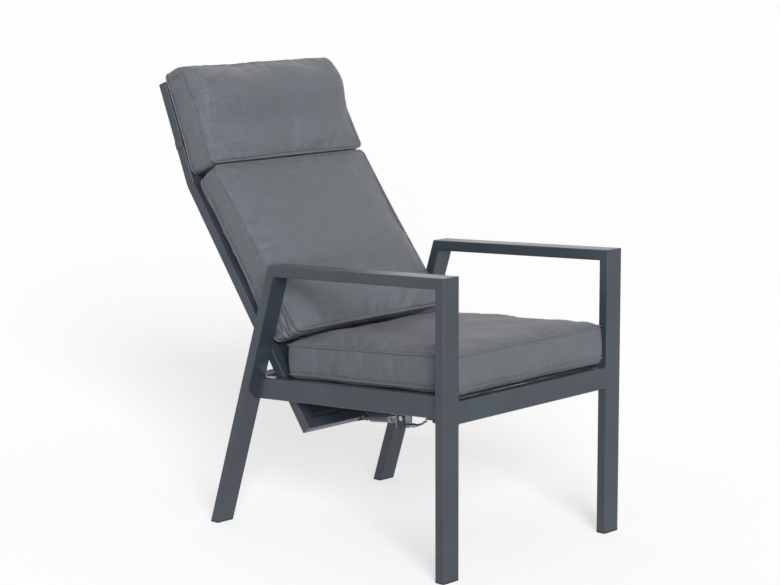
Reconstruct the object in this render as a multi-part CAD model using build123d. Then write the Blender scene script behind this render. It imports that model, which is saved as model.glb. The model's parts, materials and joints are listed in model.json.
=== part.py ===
from build123d import *
import math
import os

# A reclining garden armchair in square and flat aluminium tube, with a loose
# seat cushion, a back cushion and a headrest cushion. The back turns on two
# side pivots and is held by a lockable gas spring under the seat.
# Millimetres, Z up, the sitter looks along -Y, the sitter's right is at -X.

# Side frames
WIDTH = 600.0            # over both side frames
TUBE_WIDE = 50.0         # flat tube, across the chair
TUBE_DEEP = 25.0         # flat tube, in the side view
TUBE_WALL = 2.0
TUBE_CORNER = 3.0
FRONT_TOP = 664.0        # height of the front corner of the arm
ARM_RUN = 541.0          # from the front corner to the rear corner
REAR_TOP = 634.0         # height of the rear corner of the arm
REAR_FOOT = 750.0        # where the rear face of the rear leg meets the floor
GLIDE_THICK = 4.0
GLIDE_PLUG = 14.0

# Seat rails
RAIL_WIDE = 25.0
RAIL_HIGH = 50.0
RAIL_FRONT_AXIS = 378.6  # height of the side rail's axis behind the front leg
RAIL_FALL_SHARE = 0.066  # fall of the side rail per unit of length
FRONT_RAIL_DROP = 10.0   # front rail's top below the side rails' front ends
REAR_RAIL_TOP = 372.0
CROSS_BAR = 25.0
CROSS_BAR_FRONT = 335.0  # front face of the cross bar
CROSS_BAR_DROP = 15.5    # bar's top below the side rail's top face, upright

# Slings of open mesh cloth, held by rods in grooves
SLING_THICK = 1.2
ROD_DIAMETER = 4.4
GROOVE_BORE = 5.4
GROOVE_MOUTH = 2.0
GROOVE_SHELL = 1.0       # metal round the groove's bore
SEAT_SLING_DROP = 5.0    # sling's face below the side rail's top
SEAT_SLING_START = 30.0
SEAT_SLING_GAP = 27.3    # between the seat sling and the pivot axis
BACK_SLING_DEPTH = 20.0  # sling's middle, from the rear face of the back
SLING_END_GAP = 4.0      # between the sling and the top and bottom bars

# Reclining back, measured along its rear face
BACK_TUBE = 25.0
BACK_WALL = 2.0
BACK_CORNER = 2.5
PIVOT_GAP = 2.5          # between the back's tubes and the side rails
LOWER_LENGTH = 662.0
UPPER_LENGTH = 254.0
LOWER_LEAN = 35.9        # degrees from the vertical
UPPER_LEAN = 22.2
KNEE_RADIUS = 60.0
PIVOT_Y = 542.3
PIVOT_UP = 114.0         # pivot above the bottom corner, along the back
PIVOT_DEPTH = 10.5       # pivot in front of the rear face

# Pivots
BUSH_OUTER = 12.0
BUSH_FLANGE = 18.0
FLANGE_THICK = 2.2
BOLT_SHOULDER = 8.0
BOLT_HEAD = 14.0
BOLT_HEAD_THICK = 5.0
HEAD_SOCKET = 5.0
RUNNING_CLEARANCE = 0.05
SIDE_CLEARANCE = 0.3
INSERT_OUTER = 12.0
INSERT_LENGTH = 14.0

# Gas spring, along the line from its front pin to its rear pin
SPRING_X = -55.0
FRONT_PIN_Y = 345.0
FRONT_PIN_Z = 273.5
PIN_DIAMETER = 8.0
REAR_PIN_DEPTH = 22.5    # rear pin in front of the back's rear face
REAR_PIN_UP = 0.0        # rear pin above the back's bottom corner
CHEEK_THICK = 3.0
YOKE_GAP = 28.0
YOKE_EAR = 8.0           # radius of the yoke's ears round the rear pin
YOKE_WEB = 3.0
COLLAR_DIAMETER = 14.0
PIN_HEAD = 12.0
PIN_HEAD_THICK = 2.5
LUG_GAP = 20.0
LUG_WIDE = 24.0
LUG_END = 12.0
LUG_BELOW = 15.0         # end circle's centre below the front pin
CYLINDER_DIAMETER = 28.0
CYLINDER_WALL = 2.0
CYLINDER_LENGTH = 70.0
CYLINDER_START = 37.0    # front end, behind the front pin
CYLINDER_BASE = 3.0
GUIDE_BAND = 7.0
GUIDE_PLUG = 4.0
EYE_RADIUS = 11.0
EYE_THICK = 12.0
OPEN_PIVOT_CLEARANCE = 2.6
ROD_WIDE = 10.0
PISTON_LENGTH = 8.0
PISTON_START = 89.0
VALVE_DIAMETER = 3.0
VALVE_CLEARANCE = 0.1
VALVE_LENGTH = 33.0
VALVE_TRAVEL = 3.0
VALVE_GAP = 0.6

# Release head and lever, in the spring's own frame
HEAD_HALF = 9.5
HEAD_NOSE = 9.0
HEAD_END = 23.0
HEAD_TOP = 8.0
HEAD_BOTTOM = 23.0
HEAD_SLOT = 6.0
ROD_SEAT = 18.5
UPPER_SLOT_START = 6.5
UPPER_SLOT_TOP = 4.5
LOWER_SLOT_START = 1.0
LOWER_SLOT_TOP = 7.0
LEVER_AT = 12.5
LEVER_ARM = 9.0
LEVER_THICK = 5.4
LEVER_HUB = 4.0
LEVER_NOSE = 2.1
LEVER_PIN = 4.0
NIPPLE_DIAMETER = 5.0
NIPPLE_SEAT = 6.2
LEVER_END = 4.5
WIRE_DIAMETER = 1.6
WIRE_SLOT = 2.4
STOP_DIAMETER = 8.0
STOP_LENGTH = 17.0
SHEATH_GAP = 3.4
SHEATH_DIAMETER = 5.0
BEND_SHARE = 0.45        # a bend's tangent over the shorter run beside it

# Release handle on the near side rail
HOUSING_THICK = 18.0
HOUSING_FRONT = 33.0
HOUSING_BACK = 78.0
HOUSING_TOP = 385.0
HOUSING_BOTTOM = 335.0
HOUSING_WALL = 3.0
HOUSING_CORNER = 3.0
HANDLE_PIVOT_Y = 55.0
HANDLE_PIVOT_Z = 352.0
HANDLE_ARM = 12.0
HANDLE_HUB = 8.0
HANDLE_LOW = 270.0
HANDLE_WIDE = 10.0
HANDLE_DEEP = 12.0
HANDLE_NIPPLE = 4.0
HANDLE_SEAT = 5.2
HANDLE_SLOT_SHARE = 1.5  # wire slot's height over the nipple seat's bore
SCREW_HEAD = 7.0
SCREW_HEAD_THICK = 2.0

# Cushions
CUSHION_SIDE_GAP = 5.0   # between a cushion and the side frames
SEAT_FRONT = 13.0
SEAT_REAR_GAP = 15.3     # between the seat cushion and the pivot axis
SEAT_BELOW_SEAM = 13.0   # lower seam above the sling
SEAT_PANEL_FRONT = 74.0
SEAT_PANEL_REAR = 66.0
SEAT_CROWN = 21.0
SEAT_CORNER = 20.0
SEAT_FALL_SHARE = 1.6    # crown's reach at the rear, over its reach at the front
BACK_LOW = 217.0
BACK_TOP_DROP = 14.0     # back cushion's top below the knee
BACK_BELOW_SEAM = 24.0
BACK_PANEL_LOW = 78.0
BACK_PANEL_HIGH = 60.0
BACK_CROWN = 13.0
BACK_CORNER_R = 24.0
HEAD_CUSHION_LOW = 24.0
HEAD_OVER_TOP = 8.0      # headrest cushion's top above the top bar
HEAD_BELOW_SEAM = 8.0
HEAD_PANEL_LOW = 74.0
HEAD_PANEL_HIGH = 52.0
HEAD_CROWN = 15.0
HEAD_CORNER_R = 26.0
HEAD_SWELL = 10.0        # headrest cushion's top panel bowed out
DRAW_IN = 2.5            # side panels drawn in between their seams
REST_CLEARANCE = 0.3
STRAP_WIDE = 21.0
STRAP_THICK = 1.5
STRAP_UP = 101.0         # strap's middle above the knee
STRAP_REACH = 27.0
CUT_OVERRUN = 5.0

half_width = WIDTH / 2
inner_half = half_width - TUBE_WIDE
pieces = {}


def rail_axis(y):
    """Height of a side rail's axis at y."""
    return RAIL_FRONT_AXIS - RAIL_FALL_SHARE * (y - TUBE_DEEP)


def across(x):
    """Plane of the side view at x, drawn in y and z."""
    return Plane.YZ.offset(x)


def tube(start, end, wide, deep, wall, corner):
    """Hollow tube from start to end, its width kept along X."""
    run = Vector(*end) - Vector(*start)
    plane = Plane(origin=start, x_dir=(1, 0, 0), z_dir=run)
    inner = Rectangle(wide - 2 * wall, deep - 2 * wall)
    section = RectangleRounded(wide, deep, corner) - inner
    return extrude(plane * section, run.length)


def cut_by(solid, point, normal):
    """Keeps the part of a solid on the side that the normal points to."""
    return split(solid, bisect_by=Plane(origin=point, z_dir=normal), keep=Keep.TOP)


def unit(y, z):
    """Unit vector of the side view."""
    size = math.hypot(y, z)
    return (y / size, z / size)


def left_turn(v):
    """A side-view vector turned a quarter, from +Y towards +Z."""
    return (-v[1], v[0])


def mirrored(solid):
    """The same piece on the other side of the chair."""
    return mirror(solid, about=Plane.YZ)


def both(name, solid):
    """Files a piece of the sitter's right side and its mirror."""
    pieces["right_" + name] = solid
    pieces["left_" + name] = mirrored(solid)


# Side frames: front leg, armrest and rear leg, mitred at both upper corners
outline = [(0, 0), (0, FRONT_TOP), (ARM_RUN, REAR_TOP), (REAR_FOOT, 0)]
directions = []
for first, second in zip(outline, outline[1:]):
    directions.append(unit(second[0] - first[0], second[1] - first[1]))
inward = [(d[1], -d[0]) for d in directions]
leg_x = -(half_width - TUBE_WIDE / 2)


def mitre(index):
    """Corner point and inner corner direction of the side frame's outline."""
    a = inward[index - 1]
    b = inward[index]
    share = TUBE_DEEP / (1 + a[0] * b[0] + a[1] * b[1])
    corner = outline[index]
    return corner, ((a[0] + b[0]) * share, (a[1] + b[1]) * share)


def frame_member(index, low_cut, high_cut):
    """One tube of the side frame, run past its mitres and cut at them."""
    d = directions[index]
    n = inward[index]
    start = outline[index]
    end = outline[index + 1]
    past = TUBE_DEEP
    mid = TUBE_DEEP / 2
    p = (leg_x, start[0] - d[0] * past + n[0] * mid, start[1] - d[1] * past + n[1] * mid)
    q = (leg_x, end[0] + d[0] * past + n[0] * mid, end[1] + d[1] * past + n[1] * mid)
    member = tube(p, q, TUBE_WIDE, TUBE_DEEP, TUBE_WALL, TUBE_CORNER)
    for corner, sense in ((low_cut, 1), (high_cut, -1)):
        if corner:
            point, diagonal = mitre(corner)
            across_cut = left_turn(diagonal)
            if (across_cut[0] * d[0] + across_cut[1] * d[1]) * sense < 0:
                across_cut = (-across_cut[0], -across_cut[1])
            member = cut_by(member, (leg_x, point[0], point[1]), (0, across_cut[0], across_cut[1]))
        else:
            member = cut_by(member, (leg_x, 0, GLIDE_THICK), (0, 0, 1))
    return member


both("front_leg", frame_member(0, None, 1))
both("armrest", frame_member(1, 1, 2))
both("rear_leg", frame_member(2, 2, None))


def glide(index, foot):
    """Plastic foot: a pad under the tube's end and a plug inside it."""
    d = directions[index]
    n = inward[index]
    mid = TUBE_DEEP / 2
    reach = TUBE_DEEP + GLIDE_PLUG
    up = d if d[1] > 0 else (-d[0], -d[1])
    base = (leg_x, foot[0] + n[0] * mid - up[0] * reach, foot[1] + n[1] * mid - up[1] * reach)
    plane = Plane(origin=base, x_dir=(1, 0, 0), z_dir=(0, up[0], up[1]))
    pad = extrude(plane * RectangleRounded(TUBE_WIDE, TUBE_DEEP, TUBE_CORNER), 2 * reach)
    pad = cut_by(pad, (0, 0, 0), (0, 0, 1))
    pad = cut_by(pad, (0, 0, GLIDE_THICK), (0, 0, -1))
    inner = Rectangle(TUBE_WIDE - 2 * TUBE_WALL, TUBE_DEEP - 2 * TUBE_WALL)
    plug = extrude(plane * inner, 2 * reach)
    plug = cut_by(plug, (0, 0, GLIDE_THICK), (0, 0, 1))
    plug = cut_by(plug, (0, 0, GLIDE_THICK + GLIDE_PLUG), (0, 0, -1))
    return pad + plug


both("front_glide", glide(0, outline[0]))
both("rear_glide", glide(2, outline[3]))


# Side rails, with the seat sling's groove along their inner faces
rail_dir = unit(1, -RAIL_FALL_SHARE)
rail_up = (-rail_dir[1], rail_dir[0])
rail_x = -(inner_half + RAIL_WIDE / 2)
rail_rise = RAIL_HIGH / 2
groove_offset = GROOVE_BORE / 2 + GROOVE_SHELL
groove_x = -(inner_half + groove_offset)


def rail_point(x, y, above):
    """Point above a side rail's axis, square to it."""
    return Vector(x, y + rail_up[0] * above, rail_axis(y) + rail_up[1] * above)


rail_start = rail_point(rail_x, TUBE_DEEP - RAIL_HIGH, 0)
rail_end = rail_point(rail_x, REAR_FOOT, 0)
side_rail = tube(rail_start, rail_end, RAIL_WIDE, RAIL_HIGH, TUBE_WALL, TUBE_CORNER)
sling_level = rail_rise - SEAT_SLING_DROP - SLING_THICK / 2
groove_start = rail_point(groove_x, TUBE_DEEP - RAIL_HIGH, sling_level)
groove_run = rail_end - rail_start
groove_plane = Plane(origin=groove_start, x_dir=(1, 0, 0), z_dir=groove_run)
groove_side = GROOVE_BORE + 2 * GROOVE_SHELL
boss = extrude(groove_plane * Rectangle(groove_side, groove_side), groove_run.length)
bore = extrude(groove_plane * Circle(GROOVE_BORE / 2), groove_run.length)
mouth_centre = Location((groove_offset / 2 + CUT_OVERRUN / 2, 0, 0))
mouth_section = Rectangle(groove_offset + CUT_OVERRUN, GROOVE_MOUTH)
mouth = extrude(groove_plane * mouth_centre * mouth_section, groove_run.length)
side_rail = side_rail + boss - bore - mouth
side_rail = cut_by(side_rail, (0, TUBE_DEEP, 0), (0, 1, 0))
leg_dir = directions[2]
leg_in = inward[2]
leg_front = (REAR_FOOT + leg_in[0] * TUBE_DEEP, leg_in[1] * TUBE_DEEP)
side_rail = cut_by(side_rail, (0, leg_front[0], leg_front[1]), (0, leg_in[0], leg_in[1]))

# Pivot axis through the side rails
pivot = (PIVOT_Y, rail_axis(PIVOT_Y))
insert_bore = Cylinder(INSERT_OUTER / 2, 2 * INSERT_LENGTH)
insert_hole = Pos(-inner_half, pivot[0], pivot[1]) * Rot(0, 90, 0) * insert_bore
side_rail = side_rail - insert_hole
both("side_rail", side_rail)

# Front, rear and cross rails between the side frames
front_rail_top = rail_axis(TUBE_DEEP) + rail_rise - FRONT_RAIL_DROP
front_axis = front_rail_top - rail_rise


def cross_tube(y, z, deep, high, wall, corner, up, x_start, x_end):
    """Hollow tube along X, its height along the side-view direction up."""
    plane = Plane(origin=(x_start, y, z), x_dir=(0, up[1], -up[0]), z_dir=(1, 0, 0))
    inner = Rectangle(deep - 2 * wall, high - 2 * wall)
    return extrude(plane * (RectangleRounded(deep, high, corner) - inner), x_end - x_start)


upright = (0, 1)
pieces["front_rail"] = cross_tube(
    TUBE_DEEP / 2, front_axis, TUBE_DEEP, RAIL_HIGH, TUBE_WALL, TUBE_CORNER,
    upright, -inner_half, inner_half,
)
leg_up = (-leg_dir[0], -leg_dir[1])
rear_axis_z = REAR_RAIL_TOP - rail_rise * leg_up[1]
rear_along = rear_axis_z / leg_up[1]
rear_axis_y = REAR_FOOT + leg_up[0] * rear_along + leg_in[0] * TUBE_DEEP / 2
pieces["rear_rail"] = cross_tube(
    rear_axis_y, rear_axis_z + leg_in[1] * TUBE_DEEP / 2, TUBE_DEEP, RAIL_HIGH, TUBE_WALL,
    TUBE_CORNER, leg_up, -inner_half, inner_half,
)
bar_y = CROSS_BAR_FRONT + CROSS_BAR / 2
bar_top = rail_axis(bar_y) + rail_rise - CROSS_BAR_DROP
bar_under = bar_top - CROSS_BAR
pieces["spring_cross_bar"] = cross_tube(
    bar_y, bar_top - CROSS_BAR / 2, CROSS_BAR, CROSS_BAR, TUBE_WALL, TUBE_CORNER,
    upright, -inner_half, inner_half,
)

# Seat sling and its rods
sling_half = inner_half + groove_offset - ROD_DIAMETER / 2
sling_from = rail_point(-sling_half, SEAT_SLING_START, sling_level)
sling_to = rail_point(-sling_half, PIVOT_Y - SEAT_SLING_GAP, sling_level)
sling_run = sling_to - sling_from
sling_plane = Plane(origin=sling_from, x_dir=(1, 0, 0), z_dir=sling_run)
sling_section = Location((sling_half, 0, 0)) * Rectangle(2 * sling_half, SLING_THICK)
pieces["seat_sling"] = extrude(sling_plane * sling_section, sling_run.length)
rod_from = rail_point(groove_x, SEAT_SLING_START, sling_level)
rod_plane = Plane(origin=rod_from, x_dir=(1, 0, 0), z_dir=sling_run)
seat_rod = extrude(rod_plane * Circle(ROD_DIAMETER / 2), sling_run.length)
pieces["seat_sling_rods"] = [seat_rod, mirrored(seat_rod)]


# Reclining back: a bent side tube each side, a top bar, a bottom bar in two
# halves and a yoke for the gas spring. Up and forward run along and out of
# the rear face.
low_lean = math.radians(LOWER_LEAN)
high_lean = math.radians(UPPER_LEAN)
low_up = (math.sin(low_lean), math.cos(low_lean))
low_out = (-low_up[1], low_up[0])
high_up = (math.sin(high_lean), math.cos(high_lean))
high_out = (-high_up[1], high_up[0])
foot = (
    pivot[0] - PIVOT_UP * low_up[0] - PIVOT_DEPTH * low_out[0],
    pivot[1] - PIVOT_UP * low_up[1] - PIVOT_DEPTH * low_out[1],
)
knee = (foot[0] + LOWER_LENGTH * low_up[0], foot[1] + LOWER_LENGTH * low_up[1])
half_turn = (low_lean - high_lean) / 2
mid_lean = (low_lean + high_lean) / 2
mid_out = (-math.cos(mid_lean), math.sin(mid_lean))
back_half = inner_half - PIVOT_GAP
back_x = -(back_half - BACK_TUBE / 2)


def on_low(up, out):
    """Side-view point of the lower back, from the bottom corner."""
    return (foot[0] + up * low_up[0] + out * low_out[0], foot[1] + up * low_up[1] + out * low_out[1])


def on_high(up, out):
    """Side-view point of the upper back, from the knee."""
    return (knee[0] + up * high_up[0] + out * high_out[0], knee[1] + up * high_up[1] + out * high_out[1])


def at_knee(out):
    """Side-view point of the knee at a depth from the rear face."""
    far = out / math.cos(half_turn)
    return (knee[0] + far * mid_out[0], knee[1] + far * mid_out[1])


def back_path(x, out, from_up, to_up):
    """Path along the back at x, straight, bent at the knee, straight."""
    first = on_low(from_up, out)
    bend = at_knee(out)
    last = on_high(to_up, out)
    points = [(x, first[0], first[1]), (x, bend[0], bend[1]), (x, last[0], last[1])]
    return FilletPolyline(points, radius=KNEE_RADIUS + out - BACK_TUBE / 2)


def low_plane(x, up, out):
    """Plane square to the lower back: x stays, y points out of the rear face."""
    y, z = on_low(up, out)
    return Plane(origin=(x, y, z), x_dir=(-1, 0, 0), z_dir=(0, low_up[0], low_up[1]))


groove_deep = BACK_TUBE / 2 - groove_offset
groove_from_axis = BACK_SLING_DEPTH - BACK_TUBE / 2
tube_plane = low_plane(back_x, 0, BACK_TUBE / 2)
outer_section = RectangleRounded(BACK_TUBE, BACK_TUBE, BACK_CORNER)
hollow = Rectangle(BACK_TUBE - 2 * BACK_WALL, BACK_TUBE - 2 * BACK_WALL)
boss_section = Location((-groove_deep, groove_from_axis)) * Rectangle(groove_side, groove_side)
boss_section = boss_section & outer_section
bore_section = Location((-groove_deep, groove_from_axis)) * Circle(GROOVE_BORE / 2)
mouth_at = Location((-groove_deep - groove_offset / 2, groove_from_axis))
mouth_cut = mouth_at * Rectangle(groove_offset, GROOVE_MOUTH)
tube_section = (outer_section - hollow) + boss_section - bore_section - mouth_cut
tube_path = back_path(back_x, BACK_TUBE / 2, 0, UPPER_LENGTH)
back_tube = sweep(tube_plane * tube_section, path=tube_path)
low_mitre = on_low(0, 0)
back_tube = cut_by(
    back_tube, (-back_half, low_mitre[0], low_mitre[1]), (-1, low_up[0], low_up[1])
)
high_mitre = on_high(UPPER_LENGTH, 0)
back_tube = cut_by(
    back_tube, (-back_half, high_mitre[0], high_mitre[1]), (-1, -high_up[0], -high_up[1])
)
bush_bore = Pos(back_x, pivot[0], pivot[1]) * Rot(0, 90, 0) * Cylinder(BUSH_OUTER / 2, 2 * BACK_TUBE)
back_tube = back_tube - bush_bore
both("back_tube", back_tube)

# Top bar and bottom bar halves, mitred to the side tubes
top_at = on_high(UPPER_LENGTH - BACK_TUBE / 2, BACK_TUBE / 2)
top_bar = cross_tube(
    top_at[0], top_at[1], BACK_TUBE, BACK_TUBE, BACK_WALL, BACK_CORNER,
    high_up, -back_half, back_half,
)
for side in (-1, 1):
    top_bar = cut_by(
        top_bar, (side * back_half, high_mitre[0], high_mitre[1]), (-side, high_up[0], high_up[1])
    )
pieces["back_top_bar"] = top_bar
bottom_at = on_low(BACK_TUBE / 2, BACK_TUBE / 2)
yoke_half = YOKE_GAP / 2 + CHEEK_THICK
for name, side, x_from, x_to in (
    ("right_bottom_bar", -1, -back_half, SPRING_X - yoke_half),
    ("left_bottom_bar", 1, SPRING_X + yoke_half, back_half),
):
    bar = cross_tube(
        bottom_at[0], bottom_at[1], BACK_TUBE, BACK_TUBE, BACK_WALL, BACK_CORNER,
        low_up, x_from, x_to,
    )
    pieces[name] = cut_by(
        bar, (side * back_half, low_mitre[0], low_mitre[1]), (-side, -low_up[0], -low_up[1])
    )

# Yoke between the bottom bar's halves, with ears round the rear pin
rear_pin_at = on_low(REAR_PIN_UP, REAR_PIN_DEPTH)


def low_side_plane(x):
    """Side-view plane at x with its axes out of and along the lower back."""
    return Plane(origin=(x, foot[0], foot[1]), x_dir=(0, low_out[0], low_out[1]), z_dir=(-1, 0, 0))


def yoke_outline():
    """Square of the bar joined to a rounded ear round the rear pin."""
    square = Pos(BACK_TUBE / 2, BACK_TUBE / 2, 0) * Rectangle(BACK_TUBE, BACK_TUBE)
    ear = Pos(REAR_PIN_DEPTH, REAR_PIN_UP, 0) * Circle(YOKE_EAR)
    return make_hull(square.edges() + ear.edges())


yoke_plane = low_side_plane(SPRING_X + yoke_half)
yoke = extrude(yoke_plane * yoke_outline(), 2 * yoke_half)
gap_cut = Pos(YOKE_WEB + BACK_TUBE, 0, 0) * Rectangle(2 * BACK_TUBE, 4 * BACK_TUBE)
yoke = yoke - extrude(low_side_plane(SPRING_X + YOKE_GAP / 2) * gap_cut, YOKE_GAP)


def x_rod(radius, x_from, x_to, at):
    """Round bar along X between two places, round a side-view point."""
    plane = Plane(origin=(x_from, at[0], at[1]), x_dir=(0, 1, 0), z_dir=(1, 0, 0))
    return extrude(plane * Circle(radius), x_to - x_from)


yoke = yoke - x_rod(PIN_DIAMETER / 2, SPRING_X - 2 * yoke_half, SPRING_X + 2 * yoke_half, rear_pin_at)
pieces["spring_yoke"] = yoke


def headed_pin(radius, head_radius, head_thick, half_grip, at):
    """Pin across the spring's middle plane with a flat head at each end."""
    pin = x_rod(radius, SPRING_X - half_grip, SPRING_X + half_grip, at)
    near = x_rod(head_radius, SPRING_X - half_grip - head_thick, SPRING_X - half_grip, at)
    far = x_rod(head_radius, SPRING_X + half_grip, SPRING_X + half_grip + head_thick, at)
    return pin + near + far


rear_pin = x_rod(
    PIN_DIAMETER / 2, SPRING_X - yoke_half, SPRING_X + yoke_half, rear_pin_at
)
collar_end = EYE_THICK / 2 + SIDE_CLEARANCE
for side in (-1, 1):
    inner = SPRING_X + side * collar_end
    outer = SPRING_X + side * YOKE_GAP / 2
    rear_pin = rear_pin + x_rod(COLLAR_DIAMETER / 2, min(inner, outer), max(inner, outer), rear_pin_at)
pieces["rear_pin"] = rear_pin

# Back sling between the side tubes, bent at the knee, and its rods
back_sling_half = back_half - BACK_TUBE + groove_offset - ROD_DIAMETER / 2
sling_low = BACK_TUBE + SLING_END_GAP
sling_high = UPPER_LENGTH - BACK_TUBE - SLING_END_GAP
sling_path = back_path(0, BACK_SLING_DEPTH, sling_low, sling_high)
sling_strip = low_plane(0, sling_low, BACK_SLING_DEPTH) * Rectangle(2 * back_sling_half, SLING_THICK)
pieces["back_sling"] = sweep(sling_strip, path=sling_path)
rod_x = -(back_half - BACK_TUBE + groove_offset)
rod_path = back_path(rod_x, BACK_SLING_DEPTH, sling_low, sling_high)
back_rod = sweep(low_plane(rod_x, sling_low, BACK_SLING_DEPTH) * Circle(ROD_DIAMETER / 2), path=rod_path)
pieces["back_sling_rods"] = [back_rod, mirrored(back_rod)]

# Pivots: a flanged bush in each back tube, a threaded insert in each side
# rail and a shoulder bolt between them, put in from the inside
tube_inner = back_half - BACK_TUBE
bush = x_rod(BUSH_OUTER / 2, -back_half, -tube_inner, pivot)
bush = bush + x_rod(BUSH_FLANGE / 2, -back_half - FLANGE_THICK, -back_half, pivot)
shoulder_bore = BOLT_SHOULDER / 2 + RUNNING_CLEARANCE
bush = bush - x_rod(shoulder_bore, -inner_half, -tube_inner + CUT_OVERRUN, pivot)
pieces["pivot_bushes"] = [bush, mirrored(bush)]
insert = x_rod(INSERT_OUTER / 2, -inner_half - INSERT_LENGTH, -inner_half, pivot)
insert = insert - x_rod(BOLT_SHOULDER / 2, -inner_half - INSERT_LENGTH, -inner_half + CUT_OVERRUN, pivot)
pieces["pivot_inserts"] = [insert, mirrored(insert)]
head_from = -tube_inner + SIDE_CLEARANCE
bolt = x_rod(BOLT_SHOULDER / 2, -inner_half - INSERT_LENGTH, head_from, pivot)
bolt = bolt + x_rod(BOLT_HEAD / 2, head_from, head_from + BOLT_HEAD_THICK, pivot)
socket_plane = Plane(
    origin=(head_from + BOLT_HEAD_THICK, pivot[0], pivot[1]), x_dir=(0, 1, 0), z_dir=(-1, 0, 0)
)
socket = extrude(socket_plane * RegularPolygon(HEAD_SOCKET / 2, 6), BOLT_HEAD_THICK / 2)
bolt = bolt - socket
pieces["pivot_bolts"] = [bolt, mirrored(bolt)]

# Lug of the gas spring: two plates welded under the cross bar
front_pin_at = (FRONT_PIN_Y, FRONT_PIN_Z)
lug_top = bar_under
lug_low = FRONT_PIN_Z - LUG_BELOW
plate_shape = Pos(bar_y, (lug_top + FRONT_PIN_Z) / 2, 0) * Rectangle(LUG_WIDE, lug_top - FRONT_PIN_Z)
plate_end = Pos(bar_y, lug_low, 0) * Circle(LUG_END)
plate_hull = make_hull(plate_shape.edges() + plate_end.edges())
plates = []
for x in (SPRING_X - LUG_GAP / 2 - CHEEK_THICK, SPRING_X + LUG_GAP / 2):
    plate = extrude(across(x) * plate_hull, CHEEK_THICK)
    plates.append(plate - x_rod(PIN_DIAMETER / 2, x - CUT_OVERRUN, x + 2 * CUT_OVERRUN, front_pin_at))
pieces["front_lug"] = plates
pieces["front_pin"] = headed_pin(
    PIN_DIAMETER / 2, PIN_HEAD / 2, PIN_HEAD_THICK, LUG_GAP / 2 + CHEEK_THICK, front_pin_at
)

# Gas spring, drawn with its first axis from the front pin to the rear pin
spring_dir = unit(rear_pin_at[0] - FRONT_PIN_Y, rear_pin_at[1] - FRONT_PIN_Z)
spring_up = left_turn(spring_dir)
spring_length = math.hypot(rear_pin_at[0] - FRONT_PIN_Y, rear_pin_at[1] - FRONT_PIN_Z)


def on_spring(along, above):
    """Side-view point in the spring's own frame."""
    return (
        FRONT_PIN_Y + along * spring_dir[0] + above * spring_up[0],
        FRONT_PIN_Z + along * spring_dir[1] + above * spring_up[1],
    )


def spring_side(x):
    """Side-view plane at x with its axes along and above the spring."""
    return Plane(
        origin=(x, FRONT_PIN_Y, FRONT_PIN_Z), x_dir=(0, spring_dir[0], spring_dir[1]), z_dir=(1, 0, 0)
    )


def spring_round(radius, start, end, above=0):
    """Round bar along the spring between two places."""
    y, z = on_spring(start, above)
    plane = Plane(origin=(SPRING_X, y, z), x_dir=(1, 0, 0), z_dir=(0, spring_dir[0], spring_dir[1]))
    return extrude(plane * Circle(radius), end - start)


cylinder_end = CYLINDER_START + CYLINDER_LENGTH
cylinder_bore = CYLINDER_DIAMETER / 2 - CYLINDER_WALL
tube_start = CYLINDER_START + GUIDE_BAND
cylinder = spring_round(CYLINDER_DIAMETER / 2, tube_start, cylinder_end)
cylinder = cylinder - spring_round(cylinder_bore, tube_start, cylinder_end - CYLINDER_BASE)
pieces["spring_cylinder"] = cylinder
guide = spring_round(CYLINDER_DIAMETER / 2, CYLINDER_START, tube_start)
guide = guide + spring_round(cylinder_bore, tube_start, tube_start + GUIDE_PLUG)
guide_bore = ROD_WIDE / 2 + RUNNING_CLEARANCE
guide = guide - spring_round(guide_bore, CYLINDER_START, tube_start + GUIDE_PLUG)
pieces["cylinder_guide"] = guide
eye_shape = Pos(spring_length, 0, 0) * Circle(EYE_RADIUS)
neck = Pos((spring_length + cylinder_end) / 2, 0, 0) * Rectangle(
    spring_length - cylinder_end, EYE_RADIUS * math.sqrt(2)
)
eye = extrude(spring_side(SPRING_X - EYE_THICK / 2) * (eye_shape + neck), EYE_THICK)
eye_bore = PIN_DIAMETER / 2 + OPEN_PIVOT_CLEARANCE
eye = eye - x_rod(eye_bore, SPRING_X - EYE_THICK, SPRING_X + EYE_THICK, rear_pin_at)
pieces["cylinder_eye"] = eye

piston_end = PISTON_START + PISTON_LENGTH
valve_start = LEVER_AT + LEVER_NOSE + VALVE_GAP
valve_bore = VALVE_DIAMETER / 2 + VALVE_CLEARANCE
valve_end = valve_start + VALVE_LENGTH + VALVE_TRAVEL + VALVE_GAP
rod = spring_round(ROD_WIDE / 2, ROD_SEAT, PISTON_START)
rod = rod - spring_round(valve_bore, ROD_SEAT, valve_end)
pieces["spring_rod"] = rod
pieces["spring_piston"] = spring_round(cylinder_bore - RUNNING_CLEARANCE, PISTON_START, piston_end)
pieces["valve_pin"] = spring_round(VALVE_DIAMETER / 2, valve_start, valve_start + VALVE_LENGTH)

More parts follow.
